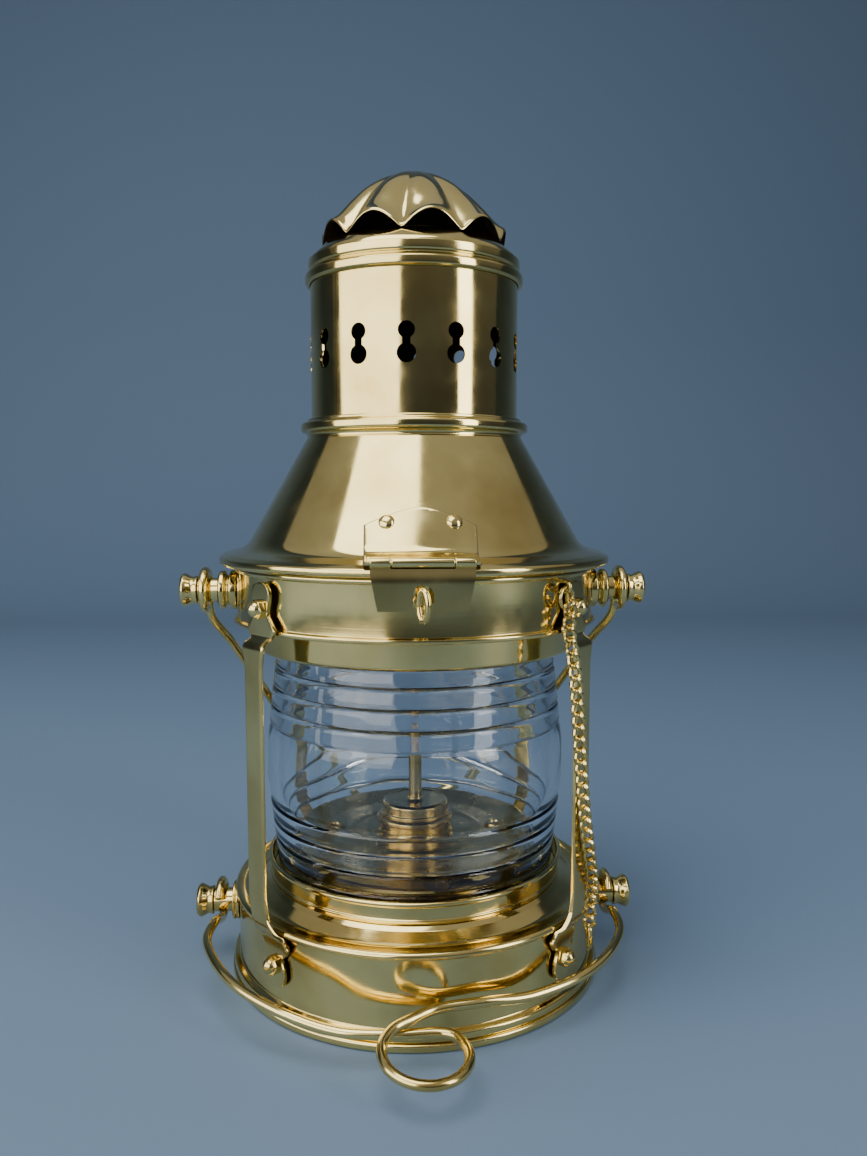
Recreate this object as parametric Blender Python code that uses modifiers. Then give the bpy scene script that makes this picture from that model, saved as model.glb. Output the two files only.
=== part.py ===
"""A brass ship's anchor lantern with a ribbed lens, a hinged hood, two wire bails and an oil font.

Metres, +Z up. The origin is the centre of the foot on the table, -Y is the hasp side,
and X runs along the bails' pivots.
"""

from math import acos, asin, atan2, cos, hypot, pi, radians, sin, tau

import bmesh
import bpy
from mathutils import Matrix, Vector

MM = 0.001
GAP = 0.3 * MM          # between pieces that touch
CUT = 2.0 * MM          # overrun of every cutter past what it cuts
MERGE = 0.0001 * MM     # joins a turned profile's seam
SHEET = 0.9 * MM        # spun brass sheet
RING_STEPS = 32         # facets round each large turned piece
SMALL_STEPS = 12        # facets round each small turned piece

# Two radii, the shelf's height and four pieces' heights lead, and the rest is set off from them
BAND_R = 79.5 * MM
TUBE_R = 45.7 * MM
SHELF_Z = 39.6 * MM
LENS_TALL = 101.5 * MM
BAND_TALL = 25.2 * MM
CONE_TALL = 55.0 * MM
TUBE_TALL = 70.1 * MM

# Base
BASE_WALL_R = BAND_R + 1.5 * MM
BASE_WALL = 1.4 * MM
BASE_PLATE_T = 1.5 * MM
FOOT_R = BASE_WALL_R + 3.4 * MM
FOOT_GROOVE_R = BASE_WALL_R + 1.4 * MM
FOOT_TOP = 7.4 * MM
SHELF_R = BASE_WALL_R + 1.8 * MM
SHELF_ROLL = 3.3 * MM
SHELF_DIP = 1.7 * MM

# Lens
COLLAR_R = BAND_R - 7.5 * MM
SEAT_R = COLLAR_R - 5.6 * MM
SEAT_T = 1.1 * MM
SEAT_RISE = 7.6 * MM      # the ring's wall, above the lens's foot
LENS_BELT_R = SEAT_R + 1.0 * MM
LENS_END_R = SEAT_R - 3.8 * MM
LENS_WALL = 5.0 * MM
LENS_BORE_R = LENS_END_R - LENS_WALL
SEAT_OPENING_R = LENS_BORE_R - 1.2 * MM
COLLAR_OPENING_R = LENS_BORE_R + 0.4 * MM
LENS_FOOT_Z = SHELF_Z + 5.5 * MM
LENS_TOP_Z = LENS_FOOT_Z + LENS_TALL
BELT_LOW_Z = LENS_FOOT_Z + LENS_TALL * 0.332
BELT_TOP_Z = LENS_TOP_Z - LENS_TALL * 0.332
LENS_RIBS = 4           # above the belt, and as many below it
RIB_DEPTH = 1.9 * MM

# Upper band
BAND_BEAD_R = BAND_R + 1.4 * MM
BAND_BEAD_Z = 2.6 * MM
BAND_WALL = 1.3 * MM
BAND_FOOT_Z = LENS_TOP_Z + 12.2 * MM
BAND_TOP_Z = BAND_FOOT_Z + BAND_TALL

# Hood
RIM_R = BAND_R + 7.3 * MM
RIM_TOP_R = RIM_R - 2.2 * MM
RIM_RISE = 4.4 * MM
CONE_FOOT_R = RIM_R - 12.0 * MM
CONE_RISE = 2.8 * MM    # from the flange's edge to the cone's foot
CONE_NECK_R = TUBE_R + 2.0 * MM
CONE_NECK_Z = BAND_TOP_Z + GAP + CONE_TALL
CONE_BEAD_R = CONE_NECK_R + 2.8 * MM
CONE_BEAD_Z = 4.0 * MM
TUBE_TOP_Z = CONE_NECK_Z + TUBE_TALL
VENTS = 14
VENT_Z = CONE_NECK_Z + TUBE_TALL * 0.52
VENT_UPPER_R = 3.45 * MM
VENT_LOWER_R = 3.95 * MM
VENT_SPAN = 9.1 * MM    # between the two holes of a keyhole
VENT_NECK = 3.4 * MM
VENT_TURN = radians(-5.9)
CAP_BEAD_R = TUBE_R + 2.2 * MM
CAP_BEAD_Z = 4.2 * MM
CAP_GROOVE = 1.6 * MM
DISH_BEAD_R = TUBE_R + 0.8 * MM
DISH_RISE = 8.6 * MM
DISH_OPENING_R = DISH_BEAD_R - 13.5 * MM
CROWN_R = DISH_BEAD_R - 6.2 * MM
CROWN_RISE = 28.6 * MM
CROWN_FLUTES = 10
CROWN_WAVE = 3.6 * MM
CROWN_TURN = radians(9)

# Hasp
PLATE_HALF = 21.4 * MM
PLATE_SHOULDER = 14.6 * MM
PLATE_ARCH = 22.6 * MM
HASP_SHEET = 1.2 * MM
HASP_OUT = 2.4 * MM     # the hasp's hinge line stands this far out of the rim
KNUCKLE_R = 1.9 * MM
PIN_R = 0.8 * MM
PIN_PLAY = 0.3 * MM
KNUCKLE_HALF = 11.4 * MM
HASP_TOP_HALF = 19.2 * MM
HASP_LOW_HALF = 16.6 * MM
HASP_DROP = 17.6 * MM
SLOT_HALF = 3.9 * MM
SLOT_RISE = 9.6 * MM
RIVET_X = 12.8 * MM
RIVET_UP = 13.2 * MM
RIVET_R = 3.2 * MM
RIVET_H = 1.7 * MM
STAPLE_UP = 2.3 * MM    # the eye's middle over the leaf's lower edge
STAPLE_WIRE = 1.2 * MM
STAPLE_HALF = 2.7 * MM
STAPLE_TALL = 5.6 * MM
STAPLE_TWIST = radians(35)

# Rear hinge
HINGE_HALF = 15.0 * MM
HINGE_MIDDLE = 5.0 * MM
HINGE_OUT = 4.6 * MM
HINGE_KNUCKLE_R = 2.7 * MM
HINGE_PIN_R = 1.3 * MM
HINGE_LEAF = 14.0 * MM

# Guard straps
STRAP_AZIMUTHS = (radians(50), radians(130), radians(230), radians(310))
STRAP_HALF = 5.5 * MM
STRAP_T = 1.5 * MM
STRAP_OUT = 4.1 * MM    # from the upper plate's plane to the strap's
STRAP_JOGGLE = 4.5 * MM
LOBE_HALF = 6.2 * MM
WAIST_HALF = 4.6 * MM
FLARE_HALF = 9.2 * MM
PLATE_TALL = 22.0 * MM
LOWER_SHIFT = 6.0 * MM  # the lower plates sit nearer the front and the back
NUT_R = 4.0 * MM
NUT_H = 6.2 * MM

# Bails and their pivots
UPPER_PIVOT_Z = BAND_FOOT_Z + 12.7 * MM
LOWER_PIVOT_Z = SHELF_Z - 13.2 * MM
BOSS_R = 8.8 * MM
BOSS_LONG = 8.2 * MM
LOWER_BOSS_LONG = 3.0 * MM
BOSS_GROOVE = 1.8 * MM
SHANK_R = 5.4 * MM
SHANK_LONG = 9.2 * MM
LOWER_SHANK_LONG = 8.8 * MM
KNOB_R = 7.6 * MM
KNOB_WAIST_R = 5.9 * MM
KNOB_LONG = 7.4 * MM
BAIL_WIRE = 2.0 * MM
EYE_PLAY = 1.1 * MM
EYE_SETBACK = 3.0 * MM    # from the shank's end to the eye's middle
UPPER_REACH = FOOT_R + 111.6 * MM
LOWER_REACH = FOOT_R + 9.6 * MM
LOOP_R = 16.0 * MM
LOOP_SIDESTEP = 4.0 * MM
LOWER_DROP = radians(6)
BAIL_STEPS = 68

# Burner and font
FONT_LIP_R = SEAT_OPENING_R - 1.0 * MM
FONT_R = FONT_LIP_R - 5.4 * MM
FONT_TOP_Z = LENS_FOOT_Z + 15.5 * MM
FONT_SHOULDER = 9.0 * MM
FONT_DISH = 2.6 * MM
BURNER_R = 15.2 * MM
BURNER_FLANGE_R = 17.7 * MM
BURNER_FLANGE_T = 8.5 * MM
BURNER_TALL = 7.2 * MM
WICK_TUBE_R = 3.0 * MM
WICK_TUBE_LONG = 23.5 * MM
WICK_R = 1.8 * MM
WICK_LONG = 12.4 * MM

# Chain
CHAIN_HALF = 1.8 * MM
CHAIN_RING_R = 4.3 * MM
CHAIN_RING_WIRE = 0.75 * MM
CHAIN_EYE_R = 2.1 * MM
CHAIN_EYE_WIRE = 0.7 * MM
CHAIN_AZIMUTH = radians(44)
CHAIN_PIN_R = 1.5 * MM
CHAIN_PIN_LONG = 12.0 * MM
# azimuth in degrees, share of the straps' stand-off, and share of the chain's drop, foot to top
CHAIN_ROUTE_SHARES = (
    (43.9, 0.0, 1.0), (43.3, 0.12, 0.946), (43.1, 0.61, 0.879), (43.6, 0.9, 0.798),
    (45.6, 1.0, 0.591), (47.6, 1.0, 0.429), (50.6, 1.0, 0.281), (54.6, 0.76, 0.17),
    (57.2, 0.27, 0.081), (57.8, 0.07, 0.0),
)

# Heights and radii that follow from the sizes above
BASE_WALL_TOP = SHELF_Z - SHELF_ROLL - GAP
SEAT_Z = LENS_FOOT_Z - 2 * GAP - SEAT_T
COLLAR_Z = LENS_TOP_Z + GAP
BAND_LEDGE_Z = BAND_FOOT_Z + 2 * SHEET
RIM_FOOT_Z = BAND_TOP_Z + GAP
RIM_TOP_Z = RIM_FOOT_Z + RIM_RISE
CONE_FOOT_Z = RIM_TOP_Z + CONE_RISE
TUBE_FOOT_Z = CONE_NECK_Z + GAP
CONE_TOP_Z = CONE_NECK_Z + 2 * CONE_BEAD_Z
CAP_FOOT_Z = TUBE_TOP_Z - CAP_BEAD_Z - GAP
GROOVE_Z = CAP_FOOT_Z + CAP_BEAD_Z
DISH_EDGE_Z = GROOVE_Z + CAP_GROOVE + CAP_BEAD_Z
CROWN_EDGE_Z = DISH_EDGE_Z + 0.72 * DISH_RISE + CROWN_WAVE + GAP
UPPER_PIVOT_X = BAND_R + GAP + BOSS_LONG + SHANK_LONG - EYE_SETBACK
LOWER_PIVOT_X = BASE_WALL_R + GAP + LOWER_BOSS_LONG + LOWER_SHANK_LONG - EYE_SETBACK
EYE_R = SHANK_R + EYE_PLAY + BAIL_WIRE
HASP_PIN_Y = -(RIM_R + HASP_OUT)
HASP_PIN_Z = RIM_TOP_Z + KNUCKLE_R
HINGE_Y = RIM_R + HINGE_OUT
HINGE_Z = RIM_FOOT_Z + RIM_RISE / 2
STRAP_PLATE_R = BAND_BEAD_R + GAP

BRASS = (0.80, 0.61, 0.30, 1.0)
DARK_BRASS = (0.55, 0.41, 0.20, 1.0)
GLASS = (0.75, 0.85, 0.90, 1.0)
WICK_WHITE = (0.70, 0.62, 0.52, 1.0)

for old in list(bpy.data.objects):
    bpy.data.objects.remove(old)

lantern = bpy.data.collections.new("ship_lantern")
cutters = bpy.data.collections.new("cutters")
bpy.context.scene.collection.children.link(lantern)
bpy.context.scene.collection.children.link(cutters)


def finish(name, colour, metallic, roughness, transmission=0.0):
    """A Principled material of the given look."""
    material = bpy.data.materials.new(name)
    material.use_nodes = True
    material.diffuse_color = colour
    surface = material.node_tree.nodes["Principled BSDF"]
    surface.inputs["Base Color"].default_value = colour
    surface.inputs["Metallic"].default_value = metallic
    surface.inputs["Roughness"].default_value = roughness
    surface.inputs["Transmission Weight"].default_value = transmission
    return material


def brass_for(name):
    return finish(name + "_brass", BRASS, 1.0, 0.12)


def keep(name, mesh, material=None, collection=lantern):
    """An object of the mesh in a collection, shaded smooth with its edges kept sharp."""
    obj = bpy.data.objects.new(name, mesh)
    collection.objects.link(obj)
    if material:
        mesh.materials.clear()
        mesh.materials.append(material)
    mesh.shade_smooth()
    mesh.set_sharp_from_angle(angle=radians(35))
    return obj


def evaluated_mesh(obj):
    """The object's mesh after its modifiers, with the object removed."""
    graph = bpy.context.evaluated_depsgraph_get()
    graph.update()
    mesh = bpy.data.meshes.new_from_object(obj.evaluated_get(graph))
    mesh.transform(obj.matrix_world)
    bpy.data.objects.remove(obj)
    welded = bmesh.new()
    welded.from_mesh(mesh)
    bmesh.ops.remove_doubles(welded, verts=welded.verts, dist=MERGE)
    welded.to_mesh(mesh)
    welded.free()
    return mesh


def profile_mesh(name, points, closed):
    """Radius and height pairs as an edge loop in the XZ plane."""
    mesh = bpy.data.meshes.new(name)
    edges = [(i, i + 1) for i in range(len(points) - 1)]
    if closed:
        edges.append((len(points) - 1, 0))
    mesh.from_pydata([(r, 0, z) for r, z in points], edges, [])
    return mesh


def add_screw(obj, steps):
    screw = obj.modifiers.new("turn", "SCREW")
    screw.steps = screw.render_steps = steps
    screw.use_merge_vertices = True
    screw.merge_threshold = MERGE
    return screw


def turned(name, points, steps=RING_STEPS, closed=True, place=None, material=None):
    """A profile, outer side first and running down, turned about Z and then placed."""
    obj = keep(name, profile_mesh(name, points, closed), material or brass_for(name))
    add_screw(obj, steps)
    if place is not None:
        obj.matrix_world = place
    return obj


def wire_mesh(points, radius, cyclic=False, resolution=2):
    """A round wire through the points, as a closed mesh."""
    curve = bpy.data.curves.new("wire", "CURVE")
    curve.dimensions = "3D"
    curve.bevel_depth = radius
    curve.bevel_resolution = resolution
    curve.use_fill_caps = not cyclic
    spline = curve.splines.new("POLY")
    spline.points.add(len(points) - 1)
    for knot, point in zip(spline.points, points):
        knot.co = (*point, 1)
    spline.use_cyclic_u = cyclic
    guide = bpy.data.objects.new("wire", curve)
    cutters.objects.link(guide)
    return evaluated_mesh(guide)


def flat_mesh(outlines, thickness):
    """Outlines in the XY plane, inner ones as holes, filled and thickened about Z = 0."""
    curve = bpy.data.curves.new("flat", "CURVE")
    curve.dimensions = "2D"
    curve.fill_mode = "BOTH"
    curve.extrude = thickness / 2
    for outline in outlines:
        spline = curve.splines.new("POLY")
        spline.points.add(len(outline) - 1)
        for knot, (x, y) in zip(spline.points, outline):
            knot.co = (x, y, 0, 1)
        spline.use_cyclic_u = True
    guide = bpy.data.objects.new("flat", curve)
    cutters.objects.link(guide)
    return evaluated_mesh(guide)


def arc(x, y, radius, start, end, count):
    """Points round a centre, ends included."""
    angles = [start + (end - start) * i / (count - 1) for i in range(count)]
    return [(x + radius * cos(a), y + radius * sin(a)) for a in angles]


def ring(radius, count):
    return arc(0, 0, radius, 0, tau * (count - 1) / count, count)


def helper(name, mesh, matrix=None):
    """A cutter, kept out of renders."""
    obj = keep(name, mesh, collection=cutters)
    obj.hide_render = True
    obj.display_type = "WIRE"
    if matrix is not None:
        mesh.transform(matrix)
    return obj


def boolean(obj, other, operation):
    cut = obj.modifiers.new(operation.lower(), "BOOLEAN")
    cut.operation = operation
    cut.solver = "EXACT"
    cut.object = other


def box_mesh(size, centre):
    mesh = bpy.data.meshes.new("box")
    cube = bmesh.new()
    matrix = Matrix.Translation(centre) @ Matrix.Diagonal((*size, 1))
    bmesh.ops.create_cube(cube, size=1, matrix=matrix)
    cube.to_mesh(mesh)
    cube.free()
    return mesh


def baked(obj):
    """The object with its modifiers applied, under its own name and material."""
    name, material = obj.name, obj.data.materials[0]
    mesh = evaluated_mesh(obj)
    return keep(name, mesh, material)


def facing_out(azimuth, radius, height):
    """Local Z points away from the lantern's axis; azimuth 0 is -Y, and +X is at 90 degrees."""
    turn = Matrix.Rotation(azimuth, 4, "Z")
    return turn @ Matrix.Translation((0, -radius, height)) @ Matrix.Rotation(pi / 2, 4, "X")


def round_way(azimuth, radius, height):
    return Vector((radius * sin(azimuth), -radius * cos(azimuth), height))


def smooth_route(points, count):
    """Evenly spaced points on a Catmull-Rom curve through the given ones."""
    ends = [points[0] * 2 - points[1]] + list(points) + [points[-1] * 2 - points[-2]]
    fine = []
    pieces = 8
    for a, b, c, d in zip(ends, ends[1:], ends[2:], ends[3:]):
        for i in range(pieces):
            t = i / pieces
            fine.append(
                0.5 * ((2 * b) + (c - a) * t + (2 * a - 5 * b + 4 * c - d) * t ** 2
                       + (3 * b - a - 3 * c + d) * t ** 3)
            )
    fine.append(points[-1])
    lengths = [0.0]
    for a, b in zip(fine, fine[1:]):
        lengths.append(lengths[-1] + (b - a).length)
    route, at = [], 0
    for i in range(count):
        wanted = lengths[-1] * i / (count - 1)
        while at < len(fine) - 2 and lengths[at + 1] < wanted:
            at += 1
        share = (wanted - lengths[at]) / (lengths[at + 1] - lengths[at])
        route.append(fine[at].lerp(fine[at + 1], min(1.0, share)))
    return route


def make_base():
    """The foot, floor, wall and dished shelf, and the ring that the lens stands on."""
    foot_bead = FOOT_TOP / 2
    inner = BASE_WALL_R - BASE_WALL
    foot = [(inner, FOOT_TOP), (FOOT_GROOVE_R, FOOT_TOP)]
    foot += [(FOOT_R - SHEET, foot_bead * 1.7), (FOOT_R - SHEET, foot_bead * 1.3)]
    foot += [(FOOT_GROOVE_R, foot_bead), (FOOT_R, foot_bead * 0.75), (FOOT_R, foot_bead * 0.3)]
    foot += [(FOOT_R - SHEET, 0), (inner, 0)]
    turned("foot_ring", foot)
    floor_r = inner - GAP
    turned("base_plate", [(0, BASE_PLATE_T), (floor_r, BASE_PLATE_T), (floor_r, 0), (0, 0)], closed=False)
    wall = [(inner, BASE_WALL_TOP), (BASE_WALL_R, BASE_WALL_TOP)]
    wall += [(BASE_WALL_R, FOOT_TOP + GAP), (inner, FOOT_TOP + GAP)]
    turned("bottom_band", wall)
    shelf_low = SHELF_Z - SHELF_DIP
    seat_low = SEAT_Z - GAP
    roll = SHELF_ROLL
    top = [(SEAT_OPENING_R, seat_low), (SEAT_R, seat_low), (SEAT_R + roll / 2, seat_low - roll / 2)]
    top += [(SEAT_R + 2.2 * roll, shelf_low), (SHELF_R - 1.4 * roll, shelf_low + SHELF_DIP / 4)]
    rim = [(SHELF_R - roll / 3, SHELF_Z), (SHELF_R, SHELF_Z - roll / 2), (SHELF_R - roll / 4, SHELF_Z - roll)]
    under = [(SHELF_R - 1.2 * roll, SHELF_Z - roll), (SHELF_R - 1.4 * roll, shelf_low - SHEET)]
    under += [(SEAT_R + 2.1 * roll, shelf_low - SHEET), (SEAT_R - SHEET, seat_low - roll / 2 - SHEET)]
    under += [(SEAT_R - SHEET, seat_low - SHEET), (SEAT_OPENING_R, seat_low - SHEET)]
    turned("base_shelf", top + rim + under)
    ring_top = SEAT_Z + SEAT_T
    wall_top = LENS_FOOT_Z + SEAT_RISE
    inside = SEAT_R - SEAT_T
    lip = [(LENS_BORE_R, ring_top), (inside, ring_top), (inside, wall_top - SEAT_T / 2)]
    lip += [(SEAT_R - SEAT_T / 2, wall_top), (SEAT_R + SEAT_T / 2, wall_top)]
    lip += [(SEAT_R + SEAT_T, wall_top - SEAT_T / 2), (SEAT_R + SEAT_T, wall_top - 1.5 * SEAT_T)]
    lip += [(SEAT_R, wall_top - 2 * SEAT_T), (SEAT_R, SEAT_Z), (LENS_BORE_R, SEAT_Z)]
    turned("lower_glass_ring", lip)


def lens_ribs(low, top, low_r, top_r):
    """The ribs between two heights, top first: each a groove and a rounded crest."""
    points = []
    pitch = (top - low) / LENS_RIBS
    for i in range(LENS_RIBS):
        z = top - pitch * i
        crest = top_r + (low_r - top_r) * (i + 0.5) / LENS_RIBS
        points += [(crest - RIB_DEPTH, z), (crest, z - pitch * 0.3)]
        points.append((crest - RIB_DEPTH / 3, z - pitch * 0.85))
    return points


def make_lens():
    """The pressed-glass lens: a plain bulging belt between rows of prism ribs."""
    near_belt = LENS_BELT_R - RIB_DEPTH / 2
    outside = [(LENS_BORE_R, LENS_TOP_Z)]
    outside += lens_ribs(BELT_TOP_Z, LENS_TOP_Z, near_belt, LENS_END_R)
    belt = BELT_TOP_Z - BELT_LOW_Z
    for share in (0.06, 0.3, 0.7, 0.94, 1.0):
        bulge = RIB_DEPTH * abs(2 * share - 1) ** 4
        outside.append((LENS_BELT_R - bulge, BELT_TOP_Z - belt * share))
    lower = lens_ribs(LENS_FOOT_Z, BELT_LOW_Z, LENS_END_R, near_belt)
    outside += lower[1:] + [(LENS_END_R - RIB_DEPTH, LENS_FOOT_Z), (LENS_BORE_R, LENS_FOOT_Z)]
    belt_bore = LENS_BELT_R - LENS_WALL
    outside += [(belt_bore, BELT_LOW_Z), (belt_bore, BELT_TOP_Z)]
    glass = finish("lens_glass", GLASS, 0.0, 0.02, 0.9)
    turned("lens", outside, material=glass)


def make_upper_band():
    """The band that carries the bail and the hinge, and the collar over the lens."""
    wall = BAND_R - BAND_WALL
    bead = BAND_BEAD_Z
    outside = [(wall, BAND_TOP_Z), (BAND_R, BAND_TOP_Z), (BAND_BEAD_R, BAND_TOP_Z - bead * 0.3)]
    outside += [(BAND_BEAD_R, BAND_TOP_Z - bead * 0.7), (BAND_R, BAND_TOP_Z - bead)]
    outside += [(BAND_R, BAND_FOOT_Z + bead), (BAND_BEAD_R, BAND_FOOT_Z + bead * 0.7)]
    outside += [(BAND_BEAD_R, BAND_FOOT_Z + bead * 0.2), (BAND_R, BAND_FOOT_Z)]
    inside = [(COLLAR_R + GAP, BAND_FOOT_Z), (COLLAR_R + GAP, BAND_LEDGE_Z), (wall, BAND_LEDGE_Z)]
    turned("top_band", outside + inside)
    flange = BAND_LEDGE_Z + GAP
    top = [(COLLAR_R - SHEET, flange + SHEET), (wall - GAP, flange + SHEET), (wall - GAP, flange)]
    side = [(COLLAR_R, flange), (COLLAR_R, COLLAR_Z), (COLLAR_OPENING_R, COLLAR_Z)]
    back = [(COLLAR_OPENING_R, COLLAR_Z + SHEET), (COLLAR_R - SHEET, COLLAR_Z + SHEET)]
    turned("upper_glass_ring", top + side + back)


def hood_line(out):
    """The hood's outer line from the cone's neck to the rim, set out by a distance."""
    slope_r, slope_z = CONE_FOOT_R - CONE_NECK_R, CONE_NECK_Z - CONE_FOOT_Z
    length = hypot(slope_r, slope_z)
    across, up = out * slope_z / length, out * slope_r / length
    return [
        (CONE_NECK_R + across, CONE_NECK_Z + up),
        (CONE_FOOT_R + across * 0.7, CONE_FOOT_Z + out * 0.8),
        (RIM_TOP_R - SHEET + out * 0.3, RIM_TOP_Z + SHEET / 2 + out),
    ]


def make_hood():
    """The cone with its rolled rim, and the bead that holds the chimney."""
    socket = TUBE_R + GAP
    bead_mid = CONE_NECK_Z + CONE_BEAD_Z * 1.05
    outside = [(socket, CONE_TOP_Z), (CONE_NECK_R - SHEET / 3, CONE_TOP_Z)]
    outside += [(CONE_BEAD_R - SHEET, bead_mid + CONE_BEAD_Z / 2), (CONE_BEAD_R, bead_mid)]
    outside += [(CONE_BEAD_R - SHEET, bead_mid - CONE_BEAD_Z / 2)]
    outside += hood_line(0)
    outside += [(RIM_R, RIM_FOOT_Z + RIM_RISE / 2), (RIM_R - SHEET / 2, RIM_FOOT_Z)]
    inside = [(RIM_TOP_R - SHEET, RIM_FOOT_Z + RIM_RISE / 3), (BAND_BEAD_R, RIM_FOOT_Z)]
    inside += [(BAND_R - BAND_WALL, RIM_FOOT_Z), (CONE_FOOT_R - SHEET, CONE_FOOT_Z - SHEET)]
    inside += [(CONE_NECK_R - SHEET, CONE_NECK_Z - 3 * SHEET)]
    inside += [(TUBE_R - 2 * SHEET, CONE_NECK_Z - SHEET), (TUBE_R - 2 * SHEET, CONE_NECK_Z)]
    inside += [(socket, CONE_NECK_Z)]
    return turned("hood_cone", outside + inside)


def keyhole():
    """Two round holes joined by a neck."""
    upper, lower = VENT_SPAN / 2, -VENT_SPAN / 2
    half = VENT_NECK / 2
    up_angle, low_angle = asin(half / VENT_UPPER_R), asin(half / VENT_LOWER_R)
    outline = arc(0, upper, VENT_UPPER_R, -pi / 2 + up_angle, 3 * pi / 2 - up_angle, 8)
    outline += arc(0, lower, VENT_LOWER_R, pi / 2 + low_angle, 5 * pi / 2 - low_angle, 8)
    return outline


def make_chimney():
    """The tube with its ring of keyhole vents."""
    wall = TUBE_R - SHEET
    tube = turned("chimney_tube", [
        (wall, TUBE_TOP_Z), (TUBE_R, TUBE_TOP_Z), (TUBE_R, TUBE_FOOT_Z), (wall, TUBE_FOOT_Z),
    ])
    vents = bmesh.new()
    hole = flat_mesh([keyhole()], 2 * CUT + SHEET)
    for i in range(VENTS):
        before = set(vents.verts)
        vents.from_mesh(hole)
        fresh = [v for v in vents.verts if v not in before]
        place = facing_out(VENT_TURN + tau * i / VENTS, TUBE_R, VENT_Z)
        bmesh.ops.transform(vents, matrix=place, verts=fresh)
    mesh = bpy.data.meshes.new("vents")
    vents.to_mesh(mesh)
    vents.free()
    boolean(tube, helper("vents", mesh), "DIFFERENCE")
    return tube


def dish_line(radius):
    """Height of the cap dish's top at a radius."""
    share = (DISH_BEAD_R - radius) / (DISH_BEAD_R - DISH_OPENING_R)
    return DISH_EDGE_Z + DISH_RISE * sin(share * pi / 2)


def make_cap():
    """The double-beaded dish on the chimney and the fluted crown over it."""
    neck = TUBE_R + 2 * GAP
    shares = (1.0, 0.75, 0.5, 0.25, 0.08)
    top = []
    for share in shares:
        radius = DISH_BEAD_R - (DISH_BEAD_R - DISH_OPENING_R) * share
        top.append((radius, dish_line(radius)))
    beads = [(DISH_BEAD_R, DISH_EDGE_Z - CAP_BEAD_Z / 2), (DISH_BEAD_R - SHEET, GROOVE_Z + CAP_GROOVE)]
    beads += [(neck + SHEET / 3, GROOVE_Z + CAP_GROOVE / 2), (CAP_BEAD_R - SHEET, GROOVE_Z)]
    beads += [(CAP_BEAD_R, GROOVE_Z - CAP_BEAD_Z / 2), (CAP_BEAD_R - SHEET, CAP_FOOT_Z)]
    step = TUBE_TOP_Z + GAP
    under = [(neck - GAP, CAP_FOOT_Z), (neck - GAP, step), (TUBE_R - 2 * SHEET, step)]
    under += [(r, z - SHEET) for r, z in reversed(top[:-1])]
    dish = turned("cap_dish", top + beads + under)

    shares = ((0, 1), (0.18, 0.955), (0.38, 0.83), (0.58, 0.63), (0.76, 0.36), (0.9, 0.12), (1, 0))
    line = [(CROWN_R * r, CROWN_EDGE_Z + CROWN_RISE * z) for r, z in shares]
    spun = bpy.data.objects.new("crown", profile_mesh("crown", line, False))
    cutters.objects.link(spun)
    add_screw(spun, CROWN_FLUTES * 8)
    mesh = evaluated_mesh(spun)
    for vertex in mesh.vertices:
        reach = Vector(vertex.co[:2]).length / CROWN_R
        azimuth = atan2(vertex.co.x, -vertex.co.y)
        arch = 2 * abs(cos(CROWN_FLUTES / 2 * (azimuth - CROWN_TURN))) - 1
        vertex.co.z += CROWN_WAVE * reach ** 2.2 * arch
    crown = keep("crown_cap", mesh, brass_for("crown_cap"))
    sheet = crown.modifiers.new("sheet", "SOLIDIFY")
    sheet.thickness = SHEET
    sheet.offset = 1.0
    return dish, crown


def knuckle_mesh(radius, bore, low, high):
    """A hinge knuckle along X with its bore."""
    mesh = flat_mesh([ring(radius, 12), ring(bore, 10)], high - low)
    mesh.transform(Matrix.Translation(((low + high) / 2, 0, 0)) @ Matrix.Rotation(pi / 2, 4, "Y"))
    return mesh


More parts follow.
